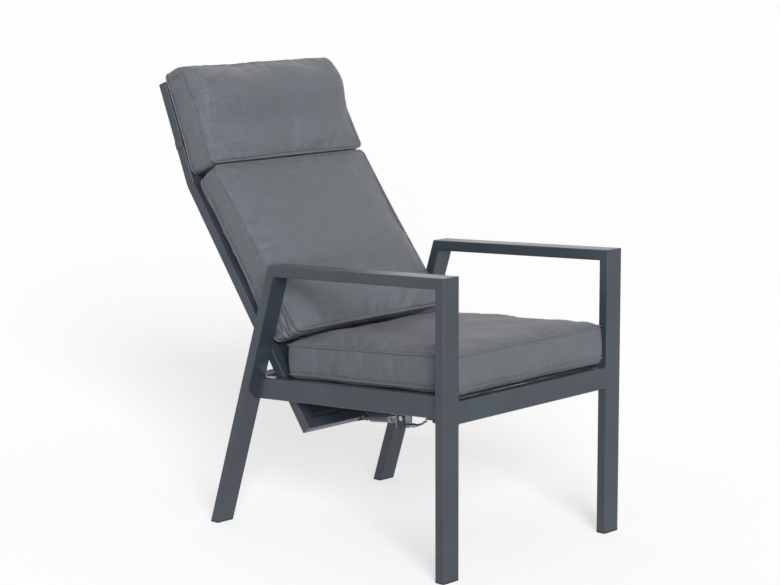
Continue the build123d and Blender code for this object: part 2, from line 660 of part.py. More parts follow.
# Release head on the rod's end, slotted for the lever
wire_above = -2 * LEVER_ARM
lever_pivot = (LEVER_AT, -LEVER_ARM)
head_shape = Pos((HEAD_END - HEAD_NOSE) / 2, (HEAD_TOP - HEAD_BOTTOM) / 2, 0) * Rectangle(
    HEAD_END + HEAD_NOSE, HEAD_TOP + HEAD_BOTTOM
)
head = extrude(spring_side(SPRING_X - HEAD_HALF) * head_shape, 2 * HEAD_HALF)
head_edges = head.edges().filter_by(Axis.X)
head = fillet(head_edges, HEAD_SLOT / 2)
upper_slot = Pos((UPPER_SLOT_START + ROD_SEAT) / 2, (UPPER_SLOT_TOP - LOWER_SLOT_TOP) / 2, 0) * Rectangle(
    ROD_SEAT - UPPER_SLOT_START, UPPER_SLOT_TOP + LOWER_SLOT_TOP
)
lower_reach = HEAD_BOTTOM + CUT_OVERRUN
lower_slot = Pos((LOWER_SLOT_START + ROD_SEAT) / 2, -(lower_reach + LOWER_SLOT_TOP) / 2, 0) * Rectangle(
    ROD_SEAT - LOWER_SLOT_START, lower_reach - LOWER_SLOT_TOP
)
slots = extrude(spring_side(SPRING_X - HEAD_SLOT / 2) * (upper_slot + lower_slot), HEAD_SLOT)
head = head - slots - spring_round(ROD_WIDE / 2, ROD_SEAT, HEAD_END)
pin_bore = PIN_DIAMETER / 2 + RUNNING_CLEARANCE
head = head - x_rod(pin_bore, SPRING_X - 2 * HEAD_HALF, SPRING_X + 2 * HEAD_HALF, front_pin_at)
lever_at = on_spring(*lever_pivot)
head = head - x_rod(LEVER_PIN / 2, SPRING_X - 2 * HEAD_HALF, SPRING_X + 2 * HEAD_HALF, lever_at)
head = head - spring_round(WIRE_SLOT / 2, -HEAD_NOSE, LOWER_SLOT_START, wire_above)
pieces["release_head"] = head
pieces["lever_pin"] = x_rod(LEVER_PIN / 2, SPRING_X - HEAD_HALF, SPRING_X + HEAD_HALF, lever_at)
stop = spring_round(STOP_DIAMETER / 2, -HEAD_NOSE - STOP_LENGTH, -HEAD_NOSE, wire_above)
stop = stop - spring_round(WIRE_SLOT / 2, -HEAD_NOSE - STOP_LENGTH, -HEAD_NOSE, wire_above)
pieces["cable_stop"] = stop

# Release lever: a nose on the valve pin and a seat for the wire's nipple
hub = Pos(LEVER_AT, -LEVER_ARM, 0) * Circle(LEVER_HUB)
nose = Pos(LEVER_AT, 0, 0) * Circle(LEVER_NOSE)
tail = Pos(LEVER_AT, wire_above, 0) * Circle(LEVER_END)
lever_shape = make_hull(hub.edges() + nose.edges()) + make_hull(hub.edges() + tail.edges())
lever = extrude(spring_side(SPRING_X - LEVER_THICK / 2) * lever_shape, LEVER_THICK)
lever = lever - x_rod(
    LEVER_PIN / 2 + RUNNING_CLEARANCE, SPRING_X - LEVER_THICK, SPRING_X + LEVER_THICK, lever_at
)
nipple_at = on_spring(LEVER_AT, wire_above)
lever = lever - x_rod(NIPPLE_SEAT / 2, SPRING_X - LEVER_THICK, SPRING_X + LEVER_THICK, nipple_at)
wire_cut = Pos(LEVER_AT - LEVER_END, wire_above, 0) * Rectangle(2 * LEVER_END, NIPPLE_SEAT)
lever = lever - extrude(spring_side(SPRING_X - WIRE_SLOT / 2) * wire_cut, WIRE_SLOT)
pieces["release_lever"] = lever
nipple = x_rod(NIPPLE_DIAMETER / 2, SPRING_X - LEVER_THICK / 2, SPRING_X + LEVER_THICK / 2, nipple_at)
wire = spring_round(WIRE_DIAMETER / 2, -HEAD_NOSE - STOP_LENGTH, LEVER_AT, wire_above)
pieces["release_wire"] = nipple + wire

# Release handle: a hollow housing on the near side rail and a hanging lever
housing_x = -inner_half
handle_middle = housing_x + HOUSING_THICK / 2
housing_deep = HOUSING_BACK - HOUSING_FRONT
housing_high = HOUSING_TOP - HOUSING_BOTTOM
housing_mid = (HOUSING_FRONT + HOUSING_BACK) / 2
housing_level = (HOUSING_TOP + HOUSING_BOTTOM) / 2
shell_shape = Pos(housing_mid, housing_level, 0) * RectangleRounded(
    housing_deep, housing_high, HOUSING_CORNER
)
housing = extrude(across(housing_x) * shell_shape, HOUSING_THICK)
cavity_shape = Pos(housing_mid, housing_level - HOUSING_WALL, 0) * Rectangle(
    housing_deep - 2 * HOUSING_WALL, housing_high
)
housing = housing - extrude(
    across(housing_x + HOUSING_WALL) * cavity_shape, HOUSING_THICK - 2 * HOUSING_WALL
)
handle_at = (HANDLE_PIVOT_Y, HANDLE_PIVOT_Z)
housing_far = housing_x + HOUSING_THICK
housing = housing - x_rod(LEVER_PIN / 2, housing_x, housing_far, handle_at)
wire_z = HANDLE_PIVOT_Z - HANDLE_ARM


def y_rod(radius, y_from, y_to, x, z):
    """Round bar along Y between two places."""
    plane = Plane(origin=(x, y_from, z), x_dir=(1, 0, 0), z_dir=(0, 1, 0))
    return extrude(plane * Circle(radius), y_to - y_from)


housing = housing - y_rod(
    WIRE_SLOT / 2, HOUSING_BACK - 2 * HOUSING_WALL, HOUSING_BACK, handle_middle, wire_z
)
pieces["handle_housing"] = housing
pieces["handle_pin"] = x_rod(LEVER_PIN / 2, housing_x, housing_far, handle_at)
screws = []
for y in (HOUSING_FRONT + SCREW_HEAD, HOUSING_BACK - SCREW_HEAD):
    screw_at = (y, HOUSING_TOP - SCREW_HEAD)
    screws.append(x_rod(SCREW_HEAD / 2, housing_far, housing_far + SCREW_HEAD_THICK, screw_at))
pieces["handle_screws"] = screws

handle_hub = Pos(HANDLE_PIVOT_Y, HANDLE_PIVOT_Z, 0) * Circle(HANDLE_HUB)
handle_neck = Pos(HANDLE_PIVOT_Y, wire_z - HANDLE_ARM, 0) * Circle(HANDLE_HUB)
handle_tip = Pos(HANDLE_PIVOT_Y - HANDLE_NIPPLE, HANDLE_LOW + HANDLE_DEEP / 2, 0) * Circle(HANDLE_DEEP / 2)
handle_shape = make_hull(handle_hub.edges() + handle_neck.edges())
handle_shape = handle_shape + make_hull(handle_neck.edges() + handle_tip.edges())
handle = extrude(across(handle_middle - HANDLE_WIDE / 2) * handle_shape, HANDLE_WIDE)
handle = handle - x_rod(LEVER_PIN / 2 + RUNNING_CLEARANCE, housing_x, housing_far, handle_at)
handle_nipple_at = (HANDLE_PIVOT_Y, wire_z)
handle = handle - x_rod(HANDLE_SEAT / 2, housing_x, housing_far, handle_nipple_at)
slot_plane = across(handle_middle - WIRE_SLOT / 2)
handle_slot_size = Rectangle(2 * HANDLE_HUB, HANDLE_SLOT_SHARE * HANDLE_SEAT)
handle_slot = Pos(HANDLE_PIVOT_Y + HANDLE_HUB, wire_z, 0) * handle_slot_size
handle = handle - extrude(slot_plane * handle_slot, WIRE_SLOT)
pieces["handle_lever"] = handle
end_nipple = x_rod(
    HANDLE_NIPPLE / 2, handle_middle - HANDLE_WIDE / 2, handle_middle + HANDLE_WIDE / 2, handle_nipple_at
)
end_wire = y_rod(WIRE_DIAMETER / 2, HANDLE_PIVOT_Y, HOUSING_BACK - VALVE_GAP, handle_middle, wire_z)
pieces["handle_wire"] = end_nipple + end_wire

# Cable sheath from the stop on the release head to the handle's housing
sheath_start = on_spring(-HEAD_NOSE - STOP_LENGTH - SHEATH_GAP, wire_above)
SHEATH_ROUTE = [
    (-57, 291, 265.5),
    (-84, 257, 281.5),
    (-132, 208, 297.5),
    (-190, 152, 317.5),
    (-241, 104, 340),
]
route = [(SPRING_X, sheath_start[0], sheath_start[1])] + SHEATH_ROUTE
route.append((handle_middle, HOUSING_BACK, wire_z))


def tangent_radii(points):
    """Radius of each corner: a share of the shorter run over tan of half the turn."""
    radii = []
    for a, b, c in zip(points, points[1:], points[2:]):
        before = Vector(*b) - Vector(*a)
        after = Vector(*c) - Vector(*b)
        turn = math.radians(before.get_angle(after))
        radii.append(BEND_SHARE * min(before.length, after.length) / math.tan(turn / 2))
    return radii


sheath_radii = tangent_radii(route)
sheath_path = FilletPolyline(route, radius=sheath_radii)
first_run = Vector(*route[1]) - Vector(*route[0])
sheath_plane = Plane(origin=route[0], z_dir=first_run)
sheath = sweep(sheath_plane * Circle(SHEATH_DIAMETER / 2), path=sheath_path)
section_area = math.pi * SHEATH_DIAMETER ** 2 / 4
print("sheath radii", [round(r, 1) for r in sheath_radii])
volume_share = sheath.volume / (section_area * sheath_path.length)
print("sheath volume over section times length", round(volume_share, 4))
pieces["cable_sheath"] = sheath


# Cushions: lofts through rounded rectangles from the sling side outwards
PANEL_SHARES = (0, 0.5, 1)
CROWN_TURN_SHARES = (0, 0.15, 0.3, 0.45, 0.6, 0.8, 1)
UNDER_SHARES = (0, 0.4, 1)
UNDER_INSET_SHARE = 0.9
CROWN_REACH_SHARE = 0.6
CROWN_END_SHARE = 0.3
CORNER_GROWTH_SHARE = 0.3
CORNER_LIMIT_SHARE = 0.42


def slice_at(low, high, half, corner):
    """Rounded rectangle between two side-view points, half wide each side of X zero."""
    mid = ((low[0] + high[0]) / 2, (low[1] + high[1]) / 2)
    run = (high[0] - low[0], high[1] - low[1])
    length = math.hypot(*run)
    plane = Plane(origin=(0, mid[0], mid[1]), x_dir=(1, 0, 0), z_dir=Vector(1, 0, 0).cross(Vector(0, *run)))
    radius = min(corner, CORNER_LIMIT_SHARE * min(2 * half, length))
    return plane * RectangleRounded(2 * half, length, radius)


def cushion(at, low, high, half, corner, below, panel_low, panel_high, crown, swell, fall):
    """Box cushion. at maps (along, out) to the side view. Under its lower
    seam it rounds in by the square of the way down, its side panels
    are drawn in between the seams, and its crown follows a quarter ellipse
    from the upper seam inwards. Swell moves the high end's panel out, and
    fall widens the crown's inset at the low end."""
    reach = half * CROWN_REACH_SHARE
    end_reach = (high - low) * CROWN_END_SHARE

    def level(out_low, out_high, inset, inset_low, inset_high):
        a = at(low + inset_low, out_low)
        b = at(high - inset_high, out_high)
        return slice_at(a, b, half - inset, corner + inset * CORNER_GROWTH_SHARE)

    under = []
    for share in UNDER_SHARES:
        inset = below * UNDER_INSET_SHARE * (1 - share) ** 2
        under.append(level(below * share, below * share, inset, inset, inset))
    panel = []
    for share in PANEL_SHARES:
        bow = 4 * share * (1 - share)
        drawn = DRAW_IN * bow
        panel.append(level(
            below + panel_low * share, below + panel_high * share,
            drawn, drawn, drawn - swell * bow,
        ))
    dome = []
    for share in CROWN_TURN_SHARES:
        angle = math.pi / 2 * share
        ellipse = 1 - math.cos(angle)
        rise = crown * math.sin(angle)
        end_inset = end_reach * ellipse
        dome.append(level(
            below + panel_low + rise, below + panel_high + rise,
            reach * ellipse, end_inset * fall, end_inset,
        ))
    return loft(under, ruled=True) + loft(panel, ruled=True) + loft(dome, ruled=True)


cushion_half = inner_half - CUSHION_SIDE_GAP
seat_length = PIVOT_Y - SEAT_REAR_GAP - SEAT_FRONT
seat_base = rail_point(0, SEAT_FRONT, sling_level + SLING_THICK / 2 + REST_CLEARANCE)


def on_seat(along, out):
    """Side-view point of the seat cushion, along it from front to rear."""
    return (
        seat_base.Y + along * rail_dir[0] + out * rail_up[0],
        seat_base.Z + along * rail_dir[1] + out * rail_up[1],
    )


def seat_from_rear(along, out):
    """The same with the rear end first, so that the crown's fall is at the rear."""
    return on_seat(seat_length - along, out)


pieces["seat_cushion"] = cushion(
    seat_from_rear, 0, seat_length, cushion_half, SEAT_CORNER, SEAT_BELOW_SEAM,
    SEAT_PANEL_REAR, SEAT_PANEL_FRONT, SEAT_CROWN, 0, SEAT_FALL_SHARE,
)
cushion_out = BACK_TUBE + REST_CLEARANCE


def on_back(along, out):
    """Side-view point of the back cushion, out from its resting face."""
    return on_low(along, cushion_out + out)


def on_head(along, out):
    """Side-view point of the headrest cushion, out from its resting face."""
    return on_high(along, cushion_out + out)


pieces["back_cushion"] = cushion(
    on_back, BACK_LOW, LOWER_LENGTH - BACK_TOP_DROP, cushion_half, BACK_CORNER_R, BACK_BELOW_SEAM,
    BACK_PANEL_LOW, BACK_PANEL_HIGH, BACK_CROWN, 0, 1,
)
pieces["headrest_cushion"] = cushion(
    on_head, HEAD_CUSHION_LOW, UPPER_LENGTH + HEAD_OVER_TOP, cushion_half, HEAD_CORNER_R,
    HEAD_BELOW_SEAM, HEAD_PANEL_LOW, HEAD_PANEL_HIGH, HEAD_CROWN, HEAD_SWELL, 1,
)

# Elastic strap round the back frame behind the headrest
strap_plane_at = on_high(STRAP_UP - STRAP_WIDE / 2, 0)
strap_plane = Plane(
    origin=(0, strap_plane_at[0], strap_plane_at[1]), x_dir=(-1, 0, 0),
    z_dir=(0, high_up[0], high_up[1]),
)
strap_outer = back_half + STRAP_THICK
strap_shape = Pos(0, (STRAP_REACH - STRAP_THICK) / 2, 0) * Rectangle(
    2 * strap_outer, STRAP_REACH + STRAP_THICK
)
strap_shape = strap_shape - Pos(0, STRAP_REACH, 0) * Rectangle(2 * back_half, 2 * STRAP_REACH)
pieces["headrest_strap"] = extrude(strap_plane * strap_shape, STRAP_WIDE)


# Every piece moves so that the chair stands centred on the origin
def solids_of(piece):
    """All solids of a piece or of a list of pieces."""
    found = []
    for item in piece if isinstance(piece, list) else [piece]:
        found.extend(item.solids())
    return found


boxes = [solid.bounding_box() for piece in pieces.values() for solid in solids_of(piece)]
front = min(box.min.Y for box in boxes)
back = max(box.max.Y for box in boxes)
shift = Pos(0, -(front + back) / 2, 0)
print("shift", round(-(front + back) / 2, 3), "height", round(max(b.max.Z for b in boxes), 1))
print("pivot", pivot, "rear pin", rear_pin_at, "lever", lever_at, "nipple", nipple_at)
os.makedirs("parts", exist_ok=True)
for name, piece in pieces.items():
    solids = [shift * solid for solid in solids_of(piece)]
    shape = solids[0] if len(solids) == 1 else Compound(solids)
    export_step(shape, "parts/" + name + ".step")
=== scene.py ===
import json
import math

import bpy
import numpy as np
from mathutils import Matrix, Vector

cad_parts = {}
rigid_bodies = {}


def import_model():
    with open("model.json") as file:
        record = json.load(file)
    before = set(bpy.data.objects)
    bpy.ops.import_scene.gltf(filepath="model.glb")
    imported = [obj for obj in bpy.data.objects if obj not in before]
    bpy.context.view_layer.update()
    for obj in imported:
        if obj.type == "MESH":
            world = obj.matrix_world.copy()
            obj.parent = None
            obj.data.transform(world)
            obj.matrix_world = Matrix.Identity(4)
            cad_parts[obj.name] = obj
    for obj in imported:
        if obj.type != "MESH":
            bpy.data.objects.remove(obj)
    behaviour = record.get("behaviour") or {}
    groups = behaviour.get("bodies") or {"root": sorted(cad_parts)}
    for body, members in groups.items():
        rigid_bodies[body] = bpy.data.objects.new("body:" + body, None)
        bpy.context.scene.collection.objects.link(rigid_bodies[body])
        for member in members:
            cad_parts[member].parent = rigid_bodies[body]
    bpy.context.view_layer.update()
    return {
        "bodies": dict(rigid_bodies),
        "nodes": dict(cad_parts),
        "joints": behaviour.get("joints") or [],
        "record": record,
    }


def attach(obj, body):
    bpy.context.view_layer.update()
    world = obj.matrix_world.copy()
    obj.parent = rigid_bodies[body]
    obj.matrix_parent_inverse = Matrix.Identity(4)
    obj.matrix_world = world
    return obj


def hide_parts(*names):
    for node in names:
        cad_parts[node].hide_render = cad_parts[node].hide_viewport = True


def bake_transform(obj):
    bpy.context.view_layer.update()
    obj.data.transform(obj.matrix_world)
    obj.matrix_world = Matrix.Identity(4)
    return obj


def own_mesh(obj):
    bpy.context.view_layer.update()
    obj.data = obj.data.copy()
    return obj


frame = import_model()
MM = 0.001

# Side view of the chair, in millimetres from the front face of the front
# legs. The row's frame stands centred on its box, so y moves by this much.
SHIFT = -483.675
LOWER_LEAN = math.radians(35.9)
UPPER_LEAN = math.radians(22.2)
FOOT = np.array([483.959, 245.957])
LOWER_LENGTH = 662.0
UPPER_LENGTH = 254.0
LOW_UP = np.array([math.sin(LOWER_LEAN), math.cos(LOWER_LEAN)])
LOW_OUT = np.array([-LOW_UP[1], LOW_UP[0]])
HIGH_UP = np.array([math.sin(UPPER_LEAN), math.cos(UPPER_LEAN)])
HIGH_OUT = np.array([-HIGH_UP[1], HIGH_UP[0]])
KNEE = FOOT + LOWER_LENGTH * LOW_UP
RAIL_FALL = 0.066
RAIL_DIR = np.array([1.0, -RAIL_FALL]) / math.hypot(1.0, RAIL_FALL)
RAIL_UP = np.array([-RAIL_DIR[1], RAIL_DIR[0]])
RAIL_FRONT_Y = 25.0
RAIL_FRONT_Z = 378.6
RAIL_HALF = 25.0
# The back cushions' resting faces, in front of the back's rear face
REST_OUT = 25.3


def to_row(x, y, z):
    """Chair millimetres to row metres, as an (n, 3) array."""
    x, y, z = np.broadcast_arrays(x, y, z)
    return np.stack([x, y + SHIFT, z], axis=-1).reshape(-1, 3) * MM


def rail_axis(y):
    """Height of the side rails' middle line, which falls to the rear."""
    return RAIL_FRONT_Z - RAIL_FALL * (y - RAIL_FRONT_Y)


# Meshes


def mesh_object(name, points, faces):
    """A smooth-shaded mesh object at the origin from row-frame points."""
    mesh = bpy.data.meshes.new(name)
    mesh.from_pydata(points.tolist(), [], faces)
    mesh.polygons.foreach_set("use_smooth", np.ones(len(mesh.polygons), bool))
    mesh.update()
    obj = bpy.data.objects.new(name, mesh)
    bpy.context.scene.collection.objects.link(obj)
    return obj


def ring_faces(rings, count):
    """Quads between neighbouring closed rings of count points each."""
    i = np.arange(rings - 1)[:, None] * count
    j = np.arange(count)[None, :]
    k = (j + 1) % count
    return np.stack([i + j, i + k, i + count + k, i + count + j], axis=-1).reshape(-1, 4)


def tube_object(name, path, radius, sides=12, closed=True):
    """A round tube: each path point carries a circle in the plane square to
    the path's tangent, turned as little as possible from point to point."""
    path = np.asarray(path, float)
    if closed:
        tangent = np.roll(path, -1, 0) - np.roll(path, 1, 0)
    else:
        tangent = np.gradient(path, axis=0)
    tangent /= np.linalg.norm(tangent, axis=1)[:, None]
    side = np.empty_like(path)
    start = np.cross(tangent[0], [0.0, 0.0, 1.0])
    if np.linalg.norm(start) < 0.1:
        start = np.cross(tangent[0], [1.0, 0.0, 0.0])
    side[0] = start / np.linalg.norm(start)
    for n in range(1, len(path)):
        s = side[n - 1] - tangent[n] * (side[n - 1] @ tangent[n])
        side[n] = s / np.linalg.norm(s)
    up = np.cross(tangent, side)
    turn = np.linspace(0, 2 * math.pi, sides, endpoint=False)
    r = np.broadcast_to(np.asarray(radius, float), (len(path),))[:, None, None]
    circle = np.cos(turn)[None, :, None] * side[:, None] + np.sin(turn)[None, :, None] * up[:, None]
    points = (path[:, None] + r * circle).reshape(-1, 3)
    quads = ring_faces(len(path), sides).tolist()
    if closed:
        last = (len(path) - 1) * sides
        twist = math.atan2(side[0] @ up[-1], side[0] @ side[-1])
        offset = int(round(twist / (2 * math.pi) * sides))
        for j in range(sides):
            k = (j + 1) % sides
            quads.append([last + (j + offset) % sides, last + (k + offset) % sides, k, j])
    else:
        quads.append(list(range(sides))[::-1])
        quads.append(list(range(len(points) - sides, len(points))))
    obj = mesh_object(name, points, quads)
    run = np.concatenate([[0], np.cumsum(np.linalg.norm(np.diff(path, axis=0), axis=1))])
    around = turn * float(np.mean(radius))
    places = np.stack(np.broadcast_arrays(run[:, None], around[None, :]), axis=-1).reshape(-1, 2)
    lay_cloth(obj, places)
    fix_outward(obj)
    return obj


def lay_cloth(obj, places):
    """Writes each point's place on the flat cloth, in metres, as a UV map."""
    loops = np.empty(len(obj.data.loops), int)
    obj.data.loops.foreach_get("vertex_index", loops)
    obj.data.uv_layers.new(name="cloth").data.foreach_set("uv", places[loops].reshape(-1))


def mesh_points(mesh):
    """The mesh's points as an (n, 3) array."""
    flat = np.empty(len(mesh.vertices) * 3)
    mesh.vertices.foreach_get("co", flat)
    return flat.reshape(-1, 3)


def fix_outward(obj):
    """Turns a closed mesh's faces outwards: its signed volume is positive."""
    mesh = obj.data
    mesh.calc_loop_triangles()
    co = mesh_points(mesh)
    tri = np.empty(len(mesh.loop_triangles) * 3, int)
    mesh.loop_triangles.foreach_get("vertices", tri)
    a, b, c = (co[tri.reshape(-1, 3)[:, n]] for n in range(3))
    if np.einsum("ij,ij->i", a, np.cross(b, c)).sum() < 0:
        mesh.flip_normals()


# Cushions

RIM_POINTS = 440
UNDER_ROWS = 21
PANEL_ROWS = 25
CROWN_ROWS = 52
PIPING_RADIUS = 2.1
# The pipings' middles: out of the seams, over the upper, under the lower one
PIPING_OUT = 0.8
PIPING_OVER = 0.5
PIPING_UNDER = 0.4
# How soon the cloth leaves its seams, over the crown and underneath
CROWN_CURVE = 15.0
UNDER_CURVE = 7.0
# How far an end's own shape reaches in from it
LOW_END_REACH = 45.0
HIGH_END_REACH = 30.0
TIP_REACH = 170.0
# The folds at the low end's corners: their pitch and how far they reach
FOLD_PITCH = 24
FOLD_ACROSS = 70.0
FOLD_ALONG = 45.0
# Stitches draw the cloth in by this much, this far from the seam
SEAM_DENT = 2.4
SEAM_DENT_AT = 3.8
SEAM_DENT_WIDTH = 2.0
PUCKER_START = 3.5
PUCKER_REACH = 17.0
# The easing of the cloth over its filling
EASE_VOXEL = 0.006
EASE_FRAMES = 20
EASE_SLACK = 0.025
EASE_SPREAD = 0.004
EASE_PRESSURE = 1.5
EASE_BENDING = 0.4
EASE_PANEL_SHARE = 0.25


def rounded_rim(half, low, high, corner, count):
    """Rounded rectangle, evenly spaced points, corners by quarter circles."""
    mid, reach = (low + high) / 2, (high - low) / 2
    t = np.linspace(0, math.pi / 2, 16)
    points = []
    for sx, sa, start in ((1, 1, 0), (-1, 1, 1), (-1, -1, 2), (1, -1, 3)):
        turn = t + start * math.pi / 2
        points.append(np.stack([
            sx * (half - corner) + corner * np.cos(turn),
            mid + sa * (reach - corner) + corner * np.sin(turn),
        ], axis=-1))
    loop = np.concatenate(points + [points[0][:1]])
    length = np.concatenate([[0], np.cumsum(np.linalg.norm(np.diff(loop, axis=0), axis=1))])
    even = np.linspace(0, length[-1], count, endpoint=False)
    return np.stack([np.interp(even, length, loop[:, n]) for n in (0, 1)], axis=-1), even


def soft_noise(points, size, seed, waves=18):
    """Smooth noise of about unit height: a sum of plane sine waves in random
    directions whose lengths lie round the size."""
    rng = np.random.default_rng(seed)
    direction = rng.normal(size=(waves, 3))
    direction /= np.linalg.norm(direction, axis=1)[:, None]
    pitch = size * rng.uniform(0.7, 1.6, waves)
    phase = rng.uniform(0, 2 * math.pi, waves)
    return np.sin(points @ (direction / pitch[:, None]).T * 2 * math.pi + phase).sum(1) / math.sqrt(waves / 2)


def pulled_rim(half, low, high, corner, pull, count):
    """The rounded rim with its sides pulled in: most at mid-side, by one
    less the square of the way along, and not at all at the corners."""
    rim, along_rim = rounded_rim(half, low, high, corner, count)
    mid, reach = (low + high) / 2, (high - low) / 2
    p, q = rim[:, 0] / half, (rim[:, 1] - mid) / reach
    return np.stack([
        (p - np.sign(p) * pull[0] / half * (1 - q ** 2) * p ** 6) * half,
        mid + (q - np.sign(q) * pull[1] / reach * (1 - p ** 2) * q ** 6) * reach,
    ], axis=-1), along_rim


def crown_lift(plan, away, low, high, crown):
    """Height of the crown over the upper seam. It climbs by one less the
    exponential of the way in from the seam, and on to the middle as a
    dome; humps, each a Gaussian along the cushion, add to it."""
    share = np.clip((plan[:, 1] - low) / (high - low), 0, 1)
    near = np.minimum(away / (0.5 * (high - low)), 1)
    leave = 1 - np.exp(-away / CROWN_CURVE)
    lift = crown[0] * (0.5 * leave + 0.5 * (1 - (1 - near) ** 2.2))
    for place, width, height in crown[1:]:
        lift = lift + height * np.exp(-((share - place) / width) ** 2) * leave
    return lift


def cloth_moves(form, along_rim, seams, seed, loose):
    """How far each point of a cushion's cloth lies out of its smooth form:
    broad waves, puckers along each seam that die away within 20 mm, and a
    dent on both sides of the seam where the stitches draw it in."""
    rings, count = form.shape[:2]
    rng = np.random.default_rng(seed)
    flat = form.reshape(-1, 3)
    move = soft_noise(flat, 150, seed) * 1.4 * loose + soft_noise(flat, 60, seed + 1) * 0.5 * loose
    move = move.reshape(rings, count)
    lap = np.column_stack([along_rim, along_rim * 0, along_rim * 0])
    turn = np.arange(count) / count * 2 * math.pi
    for seam in seams:
        step = np.linalg.norm(form - form[seam], axis=2)
        wave = np.zeros(count)
        for pitch, height in ((47, 0.7), (29, 0.5), (19, 0.3)):
            wave += height * np.sin(turn * round(along_rim[-1] / pitch) + rng.uniform(0, 2 * math.pi))
        swing = 1 + 0.7 * soft_noise(lap, 190, seed + 7 + seam)
        move += loose * wave * swing * np.exp(-step / PUCKER_REACH) * (1 - np.exp(-step / PUCKER_START))
        move -= SEAM_DENT * np.exp(-((step - SEAM_DENT_AT) / SEAM_DENT_WIDTH) ** 2)
    return move


def cushion_form(
    half, low, high, corner, below, panel, crown, pull, swell, seed,
    loose=1.0, roll=0.0, tuck=0.0, nose=0.0, crumple=0.0, tip=0.0,
):
    """A box cushion as closed rings over its own rounded rim, in local
    millimetres: across, along and out of its resting face.

    Rings shrink to the middle by a scale. Under the lower seam the cloth
    falls to the resting face by an exponential of the way in, between the
    seams it climbs the side panel, which bows out by the swell, and over the
    upper seam it climbs the crown. Roll bows the high end's panel out, and
    tuck draws the low end's upper seam that far past the lower one, with its
    panel bowed out by the nose between them. Tip lifts both of that end's
    seams, and crumple is how deep the folds at its corners go. Returns
    points, faces, rings, the two seams' rows and the places on the cloth."""
    count = RIM_POINTS
    rim, along_rim = pulled_rim(half, low, high, corner, pull, count)
    centre = np.array([0.0, (low + high) / 2])
    arm = rim - centre
    size = np.linalg.norm(arm, axis=1)
    share_along = np.clip((rim[:, 1] - low) / (high - low), 0, 1)
    end_low = np.clip(1 - (rim[:, 1] - low) / LOW_END_REACH, 0, 1) ** 1.5
    end_high = np.clip(1 - (high - rim[:, 1]) / HIGH_END_REACH, 0, 1)
    end_high = end_high * (1 - np.abs(rim[:, 0] / half) ** 3)
    thick = panel[0] + (panel[1] - panel[0]) * share_along
    rows, cloth = [], []

    def seam_height(place):
        """The lower seam's height: below, and the tip at the low end."""
        return below + tip * np.clip(1 - (place - low) / TIP_REACH, 0, 1) ** 1.5

    for s in np.linspace(1, 0, UNDER_ROWS + 1)[:-1] ** 1.9:
        plan = centre + arm * (1 - s)
        rows.append(np.column_stack([plan, seam_height(plan[:, 1]) * np.exp(-s * size / UNDER_CURVE)]))
        cloth.append(plan)
    first = len(rows)
    for t in np.linspace(0, 1, PANEL_ROWS):
        bow = 4 * t * (1 - t)
        plan = centre + arm * (1 + swell * bow / size)[:, None]
        plan[:, 1] += end_high * roll * bow ** 0.8 - end_low * (tuck * t + nose * bow)
        out = seam_height(rim[:, 1]) + thick * t
        rows.append(np.column_stack([plan, out]))
        cloth.append(np.column_stack([along_rim, out]))
    last = len(rows) - 1
    edge = rows[last][:, :2]
    spread = edge - centre
    for s in np.linspace(0, 1, CROWN_ROWS + 2)[1:-1] ** 1.6:
        plan = centre + spread * (1 - s)
        away = s * size
        share = np.clip((plan[:, 1] - low) / (high - low), 0, 1)
        out = seam_height(plan[:, 1]) + panel[0] + (panel[1] - panel[0]) * share
        rows.append(np.column_stack([plan, out + crown_lift(plan, away, low, high, crown)]))
        cloth.append(plan)
    form = np.array(rows)
    rings = len(rows)
    move = cloth_moves(form, along_rim, (first, last), seed, loose)
    if crumple:
        # Slack cloth gathers in short folds on the low end's panel corners
        corners = np.abs(form[:, :, 0]) - half, form[:, :, 1] - low
        spot = np.exp(-(corners[0] ** 2 / FOLD_ACROSS ** 2 + corners[1] ** 2 / FOLD_ALONG ** 2))
        fold = soft_noise(form.reshape(-1, 3) * [0.3, 0.5, 1.5], FOLD_PITCH, seed + 3)
        fold = -np.abs(fold.reshape(form.shape[:2]))
        inside = np.zeros(len(rows))
        inside[first:last + 1] = np.sin(math.pi * np.linspace(0, 1, last + 1 - first)) ** 0.6
        move += crumple * fold * spot * inside[:, None]

    # The cloth lies still where it rests, and is held by its seams
    resting = np.clip(1 - form[:first, :, 2] / (0.4 * below + 0.1), 0, 1)
    move[:first] *= 1 - resting
    move[[first, last]] *= 0.15
    spin = np.roll(form, -1, 1) - np.roll(form, 1, 1)
    normal = np.cross(spin, np.gradient(form, axis=0))
    normal /= np.linalg.norm(normal, axis=2)[:, :, None] + 1e-9
    form = form + normal * move[:, :, None]
    poles = [[0.0, centre[1], form[n, :, 2].mean()] for n in (0, -1)]
    points = np.concatenate([form.reshape(-1, 3), poles])
    quads = ring_faces(rings, count)
    total = rings * count
    j = np.arange(count)
    k = (j + 1) % count
    fans = np.concatenate([
        np.stack([k, j, np.full(count, total)], axis=-1),
        np.stack([j + total - count, k + total - count, np.full(count, total + 1)], axis=-1),
    ])
    ring_of = quads[:, 0] // count
    side = (ring_of >= first) & (ring_of < last)
    flat_places = points[:, :2] * MM
    side_places = np.concatenate([np.array(cloth).reshape(-1, 2), points[-2:, :2]]) * MM
    length = (along_rim[-1] + along_rim[1]) * MM
    places = np.where(side[:, None, None], side_places[quads], flat_places[quads])
    wraps = side & (np.ptp(places[:, :, 0], axis=1) > length / 2)
    places[:, :, 0] += np.where(wraps[:, None] & (places[:, :, 0] < length / 2), length, 0)
    cloth_places = np.concatenate([places.reshape(-1, 2), flat_places[fans].reshape(-1, 2)])
    return points, quads.tolist() + fans.tolist(), form, (first, last), cloth_places


